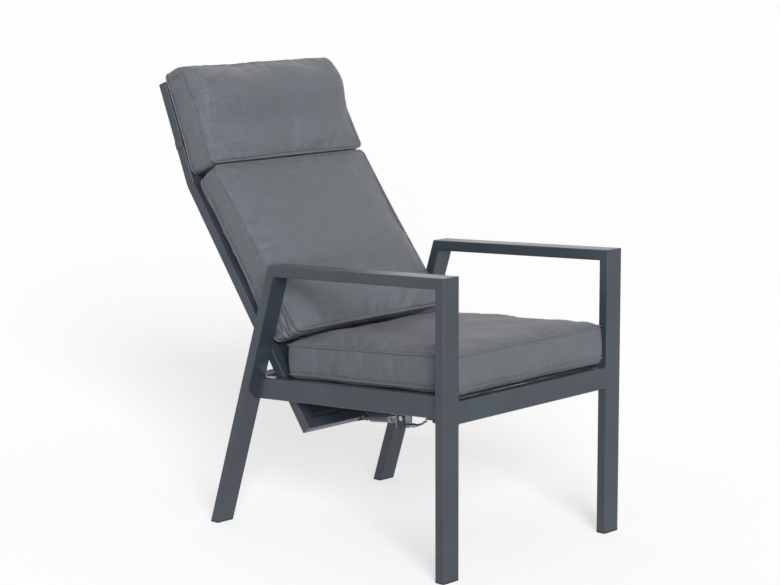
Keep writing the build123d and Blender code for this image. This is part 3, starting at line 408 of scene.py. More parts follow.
def placed(local, origin, along, out):
    """Local cushion millimetres (x, along, out) to row metres."""
    yz = origin[None] + local[:, 1:2] * along[None] + local[:, 2:3] * out[None]
    return to_row(local[:, 0], yz[:, 0], yz[:, 1])


def ease_cloth(obj, count, seams, most):
    """Cloth simulation eases the cover over its filling. A copy of 6 mm
    voxels, held at the seams and on the resting face, swells for 20 frames
    with 2.5 % of slack. Each point takes the copy's mean move round it,
    weighed by a Gaussian of 4 mm. A move m becomes m / (1 + m / most), and a
    side panel takes a quarter of it."""
    scene = bpy.context.scene
    place = mesh_points(obj.data)
    ring = np.arange(len(place)) // count
    first, last = seams
    share = np.where(ring > last, 1.0, EASE_PANEL_SHARE)
    share[(ring <= first + 1) | (np.abs(ring - last) <= 1)] = 0.0
    share[-2] = 0.0
    copy = bpy.data.objects.new("eased", obj.data.copy())
    scene.collection.objects.link(copy)
    voxels = copy.modifiers.new("voxels", "REMESH")
    voxels.mode = "VOXEL"
    voxels.voxel_size = EASE_VOXEL
    graph = bpy.context.evaluated_depsgraph_get()
    mesh = bpy.data.meshes.new_from_object(copy.evaluated_get(graph))
    copy.modifiers.clear()
    copy.data = mesh
    # Large tables of distances are worked out a part at a time
    first_place = mesh_points(mesh)
    start = (first_place - place.mean(0)).astype(np.float32)
    own = (place - place.mean(0)).astype(np.float32)
    own_square = (own ** 2).sum(1)
    parts = np.array_split(np.arange(len(start)), 40)
    nearest = np.concatenate([(own_square[None] - 2 * start[part] @ own.T).argmin(1) for part in parts])
    held = copy.vertex_groups.new(name="held")
    held.add(np.nonzero(share[nearest] == 0)[0].tolist(), 1.0, "REPLACE")
    cloth = copy.modifiers.new("cloth", "CLOTH")
    cloth.settings.use_pressure = True
    cloth.settings.uniform_pressure_force = EASE_PRESSURE
    cloth.settings.effector_weights.gravity = 0.0
    cloth.settings.vertex_group_mass = "held"
    cloth.settings.shrink_min = -EASE_SLACK
    cloth.settings.shrink_max = -EASE_SLACK
    cloth.settings.bending_stiffness = EASE_BENDING
    cloth.point_cache.frame_end = EASE_FRAMES
    for frame in range(1, EASE_FRAMES + 1):
        scene.frame_set(frame)
    graph = bpy.context.evaluated_depsgraph_get()
    step = mesh_points(copy.evaluated_get(graph).to_mesh()) - first_place
    step = step.astype(np.float32)
    move = []
    for part in np.array_split(np.arange(len(own)), 60):
        gap = own_square[part][:, None] + (start ** 2).sum(1)[None] - 2 * own[part] @ start.T
        near = np.exp(-gap / (2 * EASE_SPREAD ** 2))
        move.append(near @ step / (near.sum(1)[:, None] + 1e-9))
    move = np.concatenate(move)
    move *= share[:, None] / (1 + np.linalg.norm(move, axis=1)[:, None] / (most * MM))
    move[-1] = move[-2 - count:-2].mean(0)
    obj.data.vertices.foreach_set("co", (place + move).reshape(-1))
    obj.data.update()
    scene.frame_set(1)
    bpy.data.objects.remove(copy)
    bpy.data.meshes.remove(mesh)


def cushion_object(
    name, node, body, origin, along, out, fill, ease, rolled=False, pressed=None, **sizes
):
    """Cushion cloth, and the piping that is sewn into its two seams. On a
    rolled cushion the front cloth goes over the high end, so the piping
    leaves that end, runs down both end corners and follows the sides. Ease is
    the most that a point may move, in millimetres. Pressed, when given, only
    gives the cloth and its pipings meshes of their own; its value is not used."""
    points, faces, form, (first, last), cloth = cushion_form(**sizes)
    obj = mesh_object(name, placed(points, origin, along, out), faces)
    layer = obj.data.uv_layers.new(name="cloth")
    layer.data.foreach_set("uv", cloth.reshape(-1))
    fix_outward(obj)
    ease_cloth(obj, RIM_POINTS, (first, last), ease)
    middle = np.array([0.0, (sizes["low"] + sizes["high"]) / 2])
    paths = [("lower", form[first], True), ("upper", form[last], True)]
    if rolled:
        high = form[last][:, 1] > sizes["high"] - sizes["corner"] - 3.0
        order = np.argsort(np.arctan2(form[last][:, 0], middle[1] - form[last][:, 1]))
        kept = order[~high[order]]
        down = [form[first:last + 1, n][::-1] for n in (kept[0], kept[-1])]
        paths[1] = ("upper", np.concatenate([down[0][::-1], form[last][kept][1:-1], down[1]]), False)
    cords = []
    for word, seam, closed in paths:
        path = seam.copy()
        outward = path[:, :2] - middle
        outward /= np.linalg.norm(outward, axis=1)[:, None]
        path[:, :2] += outward * PIPING_OUT
        path[:, 2] += PIPING_OVER if word == "upper" else -PIPING_UNDER
        row_path = placed(path, origin, along, out)
        cords.append(tube_object(
            f"{name}_{word}_piping", row_path, PIPING_RADIUS * MM, sides=10, closed=closed,
        ))
    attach(obj, body)
    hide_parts(node)
    for cord in cords:
        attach(cord, body)
    if pressed:
        anchor = tuple(placed(np.array([[0.0, sizes["high"], 0.0]]), origin, along, out)[0])
        for piece in [obj] + cords:
            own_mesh(piece)
    return obj, cords


SEAT_START_Y = 13.0
SEAT_LIFT = 20.3
seat_base = np.array([SEAT_START_Y, rail_axis(SEAT_START_Y)]) + RAIL_UP * SEAT_LIFT
seat, seat_piping = cushion_object(
    "seat_cushion_cloth", "seat_cushion", "frame", seat_base, RAIL_DIR, RAIL_UP,
    fill=0.85, ease=6.0,
    half=246.6, low=-9.0, high=519.0, corner=12.0, below=13.0, panel=(73.0, 66.0),
    crown=(19.0, (0.12, 0.1, 3.0), (0.6, 0.28, 7.0), (0.9, 0.15, 3.0)),
    pull=(1.0, 2.0), swell=1.2, seed=11, loose=0.8, tip=2.5,
)
back, back_piping = cushion_object(
    "back_cushion_cloth", "back_cushion", "back", FOOT + LOW_OUT * REST_OUT, LOW_UP, LOW_OUT,
    fill=0.75, ease=9.0, pressed=0.935,
    half=246.0, low=215.0, high=652.0, corner=14.0, below=23.0, panel=(77.0, 60.0),
    crown=(15.0, (0.12, 0.12, 4.0), (0.4, 0.25, 7.0)),
    pull=(4.0, 0.5), swell=1.5, seed=23, loose=0.85,
    roll=6.0, tuck=13.0, nose=3.5, crumple=4.0,
)
head, head_piping = cushion_object(
    "headrest_cushion_cloth", "headrest_cushion", "back", KNEE + HIGH_OUT * REST_OUT, HIGH_UP, HIGH_OUT,
    fill=0.8, ease=8.0, rolled=True,
    half=246.0, low=22.0, high=270.0, corner=14.0, below=7.0, panel=(77.0, 48.0),
    crown=(8.0, (0.14, 0.12, 4.0), (0.70, 0.29, 45.0)),
    pull=(2.5, 1.0), swell=3.0, seed=37, loose=0.6,
    roll=4.0, tuck=-2.0, nose=3.0,
)


# Slings: cloth held tight between the rods in the grooves of the rails

# From the middle to the side rails' and to the back tubes' inner faces
RAIL_INNER = 250.0
BACK_INNER = 222.5
GROOVE_DEPTH = 3.7
ROD_RADIUS = 2.2
SEAT_SLING_HALF = RAIL_INNER + GROOVE_DEPTH - ROD_RADIUS
BACK_SLING_HALF = BACK_INNER + GROOVE_DEPTH - ROD_RADIUS
SLING_THICK = 1.1
# The slings' middles: over the rails' axis, and before the back's rear face
SEAT_SLING_DROP = 5.0
SEAT_SLING_OUT = RAIL_HALF - SEAT_SLING_DROP - 0.6
SEAT_SLING_RUN = (30.0, 270.0, 515.0)
BACK_SLING_OUT = 20.0
BACK_SLING_END = 29.0
SLING_ROW = 8.0
SLING_COLUMNS = 61


def even_rows(rows, per):
    """Points every few millimetres along a side-view polyline. Each is
    averaged once with its neighbours, one to two to one, so that the groove
    still holds the cloth where the back bends."""
    rows = np.asarray(rows, float)
    length = np.concatenate([[0], np.cumsum(np.linalg.norm(np.diff(rows, axis=0), axis=1))])
    even = np.linspace(0, length[-1], int(length[-1] / per) + 1)
    line = np.stack([np.interp(even, length, rows[:, n]) for n in (0, 1)], axis=-1)
    line[1:-1] = (line[:-2] + 2 * line[1:-1] + line[2:]) / 4
    return line, even


def sling_object(name, node, body, half, rows, sag):
    """A sling: the side-view rows carried across the chair. It dips between
    the rods by sag times the square of the half-sine of the way across,
    and by the same along it, away from the sitter. Two such faces, a cloth's
    thickness apart, are closed along their edges."""
    line, along = even_rows(rows, SLING_ROW)
    tangent = np.gradient(line, axis=0)
    tangent /= np.linalg.norm(tangent, axis=1)[:, None]
    out = np.stack([-tangent[:, 1], tangent[:, 0]], axis=-1)
    x = np.linspace(-half, half, SLING_COLUMNS)
    dip = np.sin(math.pi * (x / half + 1) / 2) ** 2
    ends = np.sin(math.pi * along / along[-1]) ** 2
    low = sag * dip[None, :] * (0.35 + 0.65 * ends[:, None])
    faces = []
    for level in (SLING_THICK / 2, -SLING_THICK / 2):
        y = line[:, None, 0] + out[:, None, 0] * (level - low)
        z = line[:, None, 1] + out[:, None, 1] * (level - low)
        faces.append(to_row(np.broadcast_to(x, y.shape).reshape(-1), y.reshape(-1), z.reshape(-1)))
    rows_count, columns = len(line), len(x)
    count = rows_count * columns
    i, j = np.meshgrid(np.arange(rows_count - 1), np.arange(columns - 1), indexing="ij")
    a = (i * columns + j).reshape(-1)
    upper = np.stack([a, a + 1, a + 1 + columns, a + columns], axis=-1)
    lower = upper[:, ::-1] + count
    rim = np.concatenate([
        np.arange(columns - 1),
        np.arange(rows_count - 1) * columns + columns - 1,
        count - 1 - np.arange(columns - 1),
        (rows_count - 1 - np.arange(rows_count - 1)) * columns,
    ])
    after = np.roll(rim, -1)
    edge = np.stack([after, rim, rim + count, after + count], axis=-1)
    quads = np.concatenate([upper, lower, edge])
    obj = mesh_object(name, np.concatenate(faces), quads.tolist())
    fix_outward(obj)
    places = np.stack(np.broadcast_arrays(x[None, :], along[:, None]), axis=-1).reshape(-1, 2) / 1000
    lay_cloth(obj, np.concatenate([places, places]))
    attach(obj, body)
    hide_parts(node)
    return obj


def low_point(up, out):
    """A side-view point by the back's lower tube."""
    return FOOT + up * LOW_UP + out * LOW_OUT


def high_point(up, out):
    """A side-view point by the back's upper tube."""
    return KNEE + up * HIGH_UP + out * HIGH_OUT


seat_rows = [np.array([y, rail_axis(y)]) + RAIL_UP * SEAT_SLING_OUT for y in SEAT_SLING_RUN]
seat_sling = sling_object("seat_sling_cloth", "seat_sling", "frame", SEAT_SLING_HALF, seat_rows, sag=2.0)
# The sling lies inside the bend, so it turns a little below the knee
turn_out = BACK_SLING_OUT * math.tan((LOWER_LEAN - UPPER_LEAN) / 2)
back_rows = [
    low_point(BACK_SLING_END, BACK_SLING_OUT),
    low_point(LOWER_LENGTH - turn_out, BACK_SLING_OUT),
    high_point(UPPER_LENGTH - BACK_SLING_END, BACK_SLING_OUT),
]
back_sling = sling_object("back_sling_cloth", "back_sling", "back", BACK_SLING_HALF, back_rows, sag=3.0)


HEM_RADIUS = 3.3
HEM_DROP = 2.9
HEM_SHORT = 9.0


def hem_object(name, body, half, place, out):
    """The sling's rolled hem along X: a round roll of cloth under its edge,
    whose thickness swells a little with the folds."""
    x = np.linspace(-half + HEM_SHORT, half - HEM_SHORT, 120)
    spot = place - out * HEM_DROP
    path = to_row(x, spot[0], spot[1])
    swelling = HEM_RADIUS + 0.15 * np.sin(x / 31.0) + 0.1 * np.sin(x / 12.3)
    obj = tube_object(name, path, swelling * MM, sides=14, closed=False)
    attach(obj, body)
    return obj


hems = [
    hem_object("seat_sling_front_hem", "frame", SEAT_SLING_HALF, seat_rows[0] - RAIL_DIR * 1.0, RAIL_UP),
    hem_object("seat_sling_rear_hem", "frame", SEAT_SLING_HALF, seat_rows[-1] + RAIL_DIR * 1.0, RAIL_UP),
    hem_object("back_sling_lower_hem", "back", BACK_SLING_HALF, back_rows[0], LOW_OUT),
    hem_object("back_sling_upper_hem", "back", BACK_SLING_HALF, back_rows[-1] + HIGH_UP * 0.5, HIGH_OUT),
]


# Elastic strap round the back frame, seen on both sides of the headrest

STRAP_HALF = 247.5
STRAP_OUT = 27.0
STRAP_MIDDLE = 101.0
STRAP_SPAN = (STRAP_MIDDLE - 10.5, STRAP_MIDDLE + 10.5)


def strap_object():
    """The strap's line runs in, across and out round the back's tubes, its
    corners arcs of 4 mm. Its section is a ring carried along that line: a
    flat inner face, and an outer face that bulges by half a millimetre times
    the half-sine of the way across the width."""
    corner, thick = 4.0, 1.5
    turn = np.linspace(0, math.pi / 2, 7)
    right = np.stack([-STRAP_HALF + corner - corner * np.cos(turn), corner - corner * np.sin(turn)], axis=-1)
    left = right[::-1] * [-1, 1]
    across = np.stack([np.linspace(-STRAP_HALF + 10, STRAP_HALF - 10, 25), np.zeros(25)], axis=-1)
    rise = np.linspace(STRAP_OUT, corner + 2, 5)
    near = np.stack([np.full(5, -STRAP_HALF), rise], axis=-1)
    line = np.concatenate([near, right, across, left, near[::-1] * [-1, 1]])
    tangent = np.gradient(line, axis=0)
    tangent /= np.linalg.norm(tangent, axis=1)[:, None]
    normal = np.stack([-tangent[:, 1], tangent[:, 0]], axis=-1)
    share = np.linspace(0, 1, 9)
    up = STRAP_SPAN[0] + (STRAP_SPAN[1] - STRAP_SPAN[0]) * share
    bulge = 0.5 * np.sin(math.pi * share)
    outer = [(u, -thick - b) for u, b in zip(up, bulge)]
    inner = [(u, 0.0) for u in up[::-1]]
    rings = []
    for u, level in outer + inner:
        spot = line + normal * level
        y = KNEE[0] + u * HIGH_UP[0] + spot[:, 1] * HIGH_OUT[0]
        z = KNEE[1] + u * HIGH_UP[1] + spot[:, 1] * HIGH_OUT[1]
        rings.append(to_row(spot[:, 0], y, z))
    points = np.stack(rings, axis=1)
    count = points.shape[1]
    quads = ring_faces(len(line), count).tolist()
    quads.append(list(range(count))[::-1])
    quads.append(list(range((len(line) - 1) * count, len(line) * count)))
    obj = mesh_object("headrest_strap_elastic", points.reshape(-1, 3), quads)
    fix_outward(obj)
    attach(obj, "back")
    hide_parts("headrest_strap")
    return obj


strap = strap_object()


# Release cable from the spring's cable stop to the handle's housing

CABLE_RADIUS = 2.5
CABLE_ROUTE = [
    (-55.0, 313.7, 259.1),
    (-57.0, 291.0, 265.5),
    (-84.0, 257.0, 281.5),
    (-132.0, 208.0, 297.5),
    (-190.0, 152.0, 317.5),
    (-241.0, 104.0, 340.0),
    (-241.0, 78.0, 340.0),
]


def cable_object():
    """A round jacket of 5 mm, its circle carried along a smooth spline that
    the route's points pull into its bends."""
    curve = bpy.data.curves.new("cable_route", "CURVE")
    curve.dimensions = "3D"
    spline = curve.splines.new("NURBS")
    spline.points.add(len(CABLE_ROUTE) - 1)
    for spot, place in zip(spline.points, CABLE_ROUTE):
        spot.co = (place[0] * MM, (place[1] + SHIFT) * MM, place[2] * MM, 1.0)
    spline.order_u = 3
    spline.use_endpoint_u = True
    spline.resolution_u = 12
    route = bpy.data.objects.new("cable_route", curve)
    bpy.context.scene.collection.objects.link(route)
    bpy.context.view_layer.update()
    line = bpy.data.meshes.new_from_object(route)
    path = np.array([v.co for v in line.vertices])
    bpy.data.objects.remove(route)
    bpy.data.curves.remove(curve)
    bpy.data.meshes.remove(line)
    obj = tube_object("cable_jacket", path, CABLE_RADIUS * MM, sides=16, closed=False)
    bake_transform(obj)
    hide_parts("cable_sheath")
    return obj


cable = cable_object()


def lathe_object(name, profile, start, end):
    """A closed profile of (along, radius) points in millimetres, turned
    about the line from start to end."""
    start, end = np.asarray(start, float), np.asarray(end, float)
    axis = (end - start) / np.linalg.norm(end - start)
    side = np.cross(axis, [0.0, 0.0, 1.0])
    side /= np.linalg.norm(side)
    up = np.cross(axis, side)
    sides = 32
    turn = np.linspace(0, 2 * math.pi, sides, endpoint=False)
    profile = np.asarray(profile, float) * MM
    circle = np.cos(turn)[:, None] * side + np.sin(turn)[:, None] * up
    points = start + profile[:, None, :1] * axis + profile[:, None, 1:] * circle[None]
    quads = ring_faces(len(profile), sides).tolist()
    last = (len(profile) - 1) * sides
    quads += [[last + j, last + (j + 1) % sides, (j + 1) % sides, j] for j in range(sides)]
    obj = mesh_object(name, points.reshape(-1, 3), quads)
    fix_outward(obj)
    return obj


# Sleeve over the cable stop, step down to the jacket, two crimps, bore
FERRULE_START = (-55.0, 321.5, 258.2)
FERRULE_END = (-55.0, 303.7, 261.3)
FERRULE_PROFILE = [
    (0.0, 4.25), (0.0, 4.9), (0.4, 5.2), (6.0, 5.2),
    (6.6, 4.6), (8.2, 4.4), (8.8, 3.7), (10.6, 3.5),
    (11.2, 3.7), (12.8, 3.7), (13.4, 3.5), (15.0, 3.5),
    (15.6, 3.3), (15.6, 2.65), (8.0, 2.65), (7.4, 4.25),
]


def cable_ferrule():
    """Crimped end cap: a sleeve from the stop over the jacket's end."""
    start, end = to_row(*FERRULE_START)[0], to_row(*FERRULE_END)[0]
    obj = lathe_object("cable_ferrule", FERRULE_PROFILE, start, end)
    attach(obj, "spring_rod")
    return obj


ferrule = cable_ferrule()


# Weld beads where the tubes of the frame meet

WELD_RADIUS = 1.5
WELD_RIPPLE = 2.4
WELD_CORNER = 4.0
# The faces that the beads lie on, and the tubes that they go round
INNER_FACE = 249.6
RAIL_MIDDLE = 262.5
LEG_REAR = 25.4
FRONT_RAIL_Y = 12.9
FRONT_RAIL_DROP = 10.0
CROSS_BAR_Y = 347.5
CROSS_BAR_DROP = 15.5
CROSS_BAR_HALF = 12.5
X_AXIS, Y_AXIS, Z_AXIS = np.eye(3)


def weld_object(name, centre, across, half_across, half_up):
    """A bead round a tube's end: the tube's rounded outline, across and
    upright, swept by a circle whose radius ripples every 2.4 mm."""
    rim, along_rim = rounded_rim(half_across, -half_up, half_up, WELD_CORNER, 480)
    path = np.array(centre) + rim[:, :1] * across + rim[:, 1:] * Z_AXIS
    ripple = 0.22 * np.sin(2 * math.pi * along_rim / WELD_RIPPLE)
    radius = WELD_RADIUS + ripple + 0.12 * np.sin(along_rim / 9.1)
    obj = tube_object(name, to_row(path[:, 0], path[:, 1], path[:, 2]), radius * MM, sides=8)
    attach(obj, "frame")
    return obj


front_rail_z = rail_axis(RAIL_FRONT_Y) + RAIL_HALF - FRONT_RAIL_DROP - RAIL_HALF
cross_bar_z = rail_axis(CROSS_BAR_Y) + RAIL_HALF - CROSS_BAR_DROP - CROSS_BAR_HALF
welds = []
for side, word in ((-1, "right"), (1, "left")):
    front = (side * INNER_FACE, FRONT_RAIL_Y, front_rail_z)
    rail = (side * RAIL_MIDDLE, LEG_REAR, rail_axis(LEG_REAR))
    bar = (side * INNER_FACE, CROSS_BAR_Y, cross_bar_z)
    welds.append(weld_object(f"{word}_front_rail_weld", front, Y_AXIS, 12.1, 25.4))
    welds.append(weld_object(f"{word}_side_rail_front_weld", rail, X_AXIS, 12.9, 25.5))
    welds.append(weld_object(f"{word}_cross_bar_weld", bar, Y_AXIS, 12.8, 12.8))


# Materials


def linear(colour):
    """sRGB hex to linear RGBA: below 0.04045 the value over 12.92, above it
    the value plus 0.055, over 1.055, to the power of 2.4."""
    value = np.array([int(colour[n:n + 2], 16) for n in (1, 3, 5)]) / 255
    value = np.where(value <= 0.04045, value / 12.92, ((value + 0.055) / 1.055) ** 2.4)
    return (*value.tolist(), 1.0)


def add(tree, kind, values=None, links=None, **settings):
    """Adds a node with its settings, its socket values and its links."""
    node = tree.nodes.new("ShaderNode" + kind)
    for key, value in settings.items():
        setattr(node, key, value)
    for key, value in (values or {}).items():
        node.inputs[key].default_value = value
    for key, socket in (links or {}).items():
        tree.links.new(socket, node.inputs[key])
    return node


def material(name, **values):
    """An empty material with its shader, as (material, tree, shader)."""
    made = bpy.data.materials.new(name)
    made.use_nodes = True
    tree = made.node_tree
    tree.nodes.clear()
    shader = add(tree, "BsdfPrincipled", values={k.replace("_", " "): v for k, v in values.items()})
    add(tree, "OutputMaterial", links={"Surface": shader.outputs[0]})
    return made, tree, shader


def shade(tree, factor, dark, light):
    """Colour between two hex values by a factor."""
    ramp = add(tree, "Mix", values={6: linear(dark), 7: linear(light)}, links={0: factor}, data_type="RGBA")
    return ramp.outputs[2]


def mixed(tree, factor, under, over):
    """A colour socket with a hex value laid over it by a factor."""
    node = add(
        tree, "Mix", values={7: linear(over)}, links={0: factor, 6: under}, data_type="RGBA",
    )
    return node.outputs[2]


def bump(tree, height, depth, shader):
    """Relief of so many metres on the shader."""
    node = add(
        tree, "Bump", values={"Strength": 1.0, "Distance": depth}, links={"Height": height},
    )
    tree.links.new(node.outputs[0], shader.inputs["Normal"])


def grain(tree, coords, size, detail=2.0, rough=0.5):
    """Noise whose blobs are about so many metres across, as Scale counts
    two blobs to a unit."""
    return add(
        tree, "TexNoise", values={"Scale": 0.5 / size, "Detail": detail, "Roughness": rough},
        links={"Vector": coords},
    ).outputs["Fac"]


def ranged(tree, value, low, high, to_low=0.0, to_high=1.0):
    """A value carried from one range to another, with no overshoot."""
    return add(
        tree, "MapRange", values={1: low, 2: high, 3: to_low, 4: to_high}, links={0: value},
    ).outputs[0]


def maths(tree, operation, first, second=None):
    """One sum on sockets or numbers, by the operation's name."""
    values, links = {}, {}
    for n, item in enumerate((first, second)):
        if item is None:
            continue
        if isinstance(item, (int, float)):
            values[n] = item
        else:
            links[n] = item
    return add(tree, "Math", values=values, links=links, operation=operation).outputs[0]


def weave(tree, coords, pitch):
    """Plain weave: in each square of one pitch, warp and weft take turns on
    top, each thread the half-sine across itself, and sunk at its ends."""
    parts = add(tree, "SeparateXYZ", links={0: coords})
    turns = [maths(tree, "SINE", maths(tree, "MULTIPLY", parts.outputs[n], math.pi / pitch)) for n in (0, 1)]
    over = maths(tree, "GREATER_THAN", maths(tree, "MULTIPLY", turns[0], turns[1]), 0.0)
    warp, weft = (maths(tree, "ABSOLUTE", turn) for turn in turns)
    height = add(tree, "Mix", links={0: over, 2: warp, 3: weft}, data_type="FLOAT")
    return height.outputs[0], over, warp, weft


def powder_coat():
    """Aluminium tube, powder coated: a satin anthracite skin with fine
    orange peel, and a painted highlight that makes the faces that look up a little greyer."""
    made, tree, shader = material("powder_coated_aluminium", Roughness=0.34, IOR=1.5)
    coords = add(tree, "TexCoord").outputs["Object"]
    # Film flows: colour drifts over about 60 mm, orange peel is 1.2 mm
    drift = grain(tree, coords, 0.06)
    base = shade(tree, ranged(tree, drift, 0.35, 0.65), "#364049", "#3D4750")
    normal = add(tree, "NewGeometry").outputs["Normal"]
    up = add(tree, "SeparateXYZ", links={0: normal}).outputs[2]
    # Painted highlight: faces that look up are a little greyer, in patches of about 30 mm
    patches = ranged(tree, grain(tree, coords, 0.03, 4.0), 0.3, 0.75)
    top_highlight = maths(tree, "MULTIPLY", ranged(tree, up, 0.75, 1.0, 0.0, 0.16), patches)
    top_lit = mixed(tree, top_highlight, base, "#A09E98")
    tree.links.new(top_lit, shader.inputs["Base Color"])
    tree.links.new(ranged(tree, drift, 0.3, 0.7, 0.29, 0.38), shader.inputs["Roughness"])
    bump(tree, grain(tree, coords, 0.0012), 0.00006, shader)
    return made


def cushion_cloth(name, place):
    """Solution-dyed olefin, plain woven from slubby grey yarns: matt, with
    lighter and darker threads mixed, painted shade where the weave sinks, and a faint nap at grazing angles."""
    made, tree, shader = material(name, Roughness=0.44, IOR=1.5, Sheen_Weight=0.12, Sheen_Roughness=0.5)
    source = add(tree, "TexCoord").outputs[place]
    # Real threads are 0.9 mm apart; drawn at 2 mm so that they show
    height, over, warp, weft = weave(tree, source, 0.0020)
    lines = []
    for stretch in ((1.0, 0.055, 1.0), (0.055, 1.0, 1.0)):
        vector = add(tree, "Mapping", values={"Scale": stretch}, links={"Vector": source}).outputs[0]
        lines.append(grain(tree, vector, 0.0017, 1.0))
    yarn = add(tree, "Mix", links={0: over, 2: lines[0], 3: lines[1]}, data_type="FLOAT").outputs[0]
    tone = shade(tree, ranged(tree, yarn, 0.3, 0.7), "#60646C", "#747880")
    cloud = ranged(tree, grain(tree, source, 0.09, 3.0), 0.3, 0.7, 0.94, 1.05)
    # Painted shade: the weave is darker where its threads sink
    deep = ranged(tree, height, 0.0, 0.55, 0.84, 1.0)
    factor = maths(tree, "MULTIPLY", cloud, deep)
    tone = add(tree, "VectorMath", links={0: tone, 3: factor}, operation="SCALE").outputs[0]
    tree.links.new(tone, shader.inputs["Base Color"])
    bump(tree, height, 0.00045, shader)
    return made


def sling_mesh():
    """PVC-coated polyester yarn, leno woven: dark, slightly glossy round
    threads with small open holes painted near black as shade, and the thread on top painted lighter than the
    sunk one."""
    made, tree, shader = material("coated_mesh_sling", Roughness=0.5, IOR=1.5)
    source = add(tree, "TexCoord").outputs["UV"]
    # Real yarns are 1.3 mm apart; drawn at 2.6 mm so that they show
    height, over, warp, weft = weave(tree, source, 0.0026)
    sunk = [maths(tree, "LESS_THAN", thread, 0.34) for thread in (warp, weft)]
    hole = maths(tree, "MULTIPLY", *sunk)
    # Painted shade: the holes are near black, and the sunk thread is darker than the one on top
    tone = mixed(tree, hole, shade(tree, over, "#24272A", "#303437"), "#0C0D0E")
    tree.links.new(tone, shader.inputs["Base Color"])
    bump(tree, height, 0.0005, shader)
    return made


def moulded(name, dark, light, roughness, pit):
    """Injection-moulded plastic: a fine spark-eroded grain and a soft
    change of gloss. Extruded plastic and satin paint look the same way."""
    made, tree, shader = material(name, Roughness=roughness, IOR=1.5)
    coords = add(tree, "TexCoord").outputs["Object"]
    drift = grain(tree, coords, 0.012, 3.0)
    tone = shade(tree, ranged(tree, drift, 0.3, 0.7), dark, light)
    tree.links.new(tone, shader.inputs["Base Color"])
    gloss = ranged(tree, drift, 0.3, 0.7, roughness - 0.06, roughness + 0.06)
    tree.links.new(gloss, shader.inputs["Roughness"])
    bump(tree, grain(tree, coords, pit), 0.00004, shader)
    return made


def bare_metal(name, dark, light, roughness, streak, size):
    """Plated, cast or drawn metal: colour and gloss drift over its size, and
    the streak stretches the grain along X."""
    made, tree, shader = material(name, Metallic=1.0, Roughness=roughness)
    coords = add(tree, "TexCoord").outputs["Object"]
    vector = add(tree, "Mapping", values={"Scale": streak}, links={"Vector": coords}).outputs[0]
    drift = grain(tree, vector, size, 4.0, 0.6)
    tone = shade(tree, ranged(tree, drift, 0.3, 0.7), dark, light)
    tree.links.new(tone, shader.inputs["Base Color"])
    gloss = ranged(tree, drift, 0.25, 0.75, max(roughness - 0.08, 0.03), roughness + 0.1)
    tree.links.new(gloss, shader.inputs["Roughness"])
    bump(tree, drift, 0.00003, shader)
    return made


# A wave texture at a scale of 1 has bands this far apart
WAVE_BAND = 0.31416


def elastic_webbing():
    """Elastic webbing: fine ribs, 2.2 mm apart, over rubber cords, painted darker in the grooves and lighter
    on the crests.
    """
    made, tree, shader = material("elastic_webbing", Roughness=0.8, IOR=1.45, Sheen_Weight=0.1)
    coords = add(tree, "TexCoord").outputs["Object"]
    ribs = add(
        tree, "TexWave", values={"Scale": WAVE_BAND / 0.0022, "Distortion": 0.4, "Detail": 1.0},
        links={"Vector": coords}, wave_type="BANDS", bands_direction="X",
    ).outputs["Fac"]
    # Painted shade and highlight: the ribs' grooves are darker, their crests lighter
    tree.links.new(shade(tree, ribs, "#3C3F45", "#565A61"), shader.inputs["Base Color"])
    bump(tree, ribs, 0.0004, shader)
    return made


def stranded_wire():
    """Steel wire rope: strands laid round it, seen as slanting bands that
    are 0.9 mm apart, painted dark in the grooves and bright on the crests."""
    made, tree, shader = material("stranded_steel_wire", Metallic=1.0, Roughness=0.35)
    coords = add(tree, "TexCoord").outputs["Object"]
    turned = add(tree, "Mapping", values={"Rotation": (0.5, 0.0, 0.5)}, links={"Vector": coords}).outputs[0]
    bands = add(
        tree, "TexWave", values={"Scale": WAVE_BAND / 0.0009}, links={"Vector": turned},
        wave_type="BANDS", bands_direction="Y",
    ).outputs["Fac"]
    # Painted shade and highlight: dark in the grooves between strands, bright on their crests
    tree.links.new(shade(tree, bands, "#6E7072", "#C4C5C6"), shader.inputs["Base Color"])
    bump(tree, bands, 0.0001, shader)
    return made


coat = powder_coat()
cloth = cushion_cloth("woven_olefin_cloth", "UV")
piping_cloth = cushion_cloth("woven_olefin_piping", "Object")
finishes = {
    "frame": coat,
    "sling": sling_mesh(),
    "cushion": cloth,
    "strap": elastic_webbing(),
    "glide": moulded("moulded_polyethylene", "#1E1F21", "#27282A", 0.55, 0.0008),
    "bush": moulded("moulded_nylon", "#202124", "#2B2C2F", 0.45, 0.0006),
    "sling_rod": moulded("extruded_pvc_rod", "#1A1B1C", "#242526", 0.4, 0.001),
    "handle": moulded("glass_filled_nylon", "#1B1C1E", "#26282A", 0.5, 0.0007),
    "sheath": moulded("extruded_pvc_jacket", "#121314", "#1B1C1D", 0.35, 0.0015),
    # Painted light: the cylinder has the frame's paint, drawn much lighter so that it shows out of the shade
    # under the seat
    "cylinder": moulded("satin_painted_steel", "#56606A", "#5E6973", 0.3, 0.0012),
    "fastener": bare_metal("zinc_plated_steel", "#9FA3A4", "#C9CCCB", 0.3, (1.0, 1.0, 1.0), 0.004),
    "rod": bare_metal("hard_chromed_rod", "#C8CACC", "#E2E3E4", 0.1, (1.0, 0.05, 1.0), 0.002),
    "zinc": bare_metal("cast_zinc", "#83878A", "#A6A9AB", 0.45, (1.0, 1.0, 1.0), 0.003),
    "wire": stranded_wire(),
}
slot_of = {part["node"]: part["material_slot"] for part in frame["record"]["subparts"]}
for name, node in frame["nodes"].items():
    node.data.materials.clear()
    node.data.materials.append(finishes[slot_of[name]])
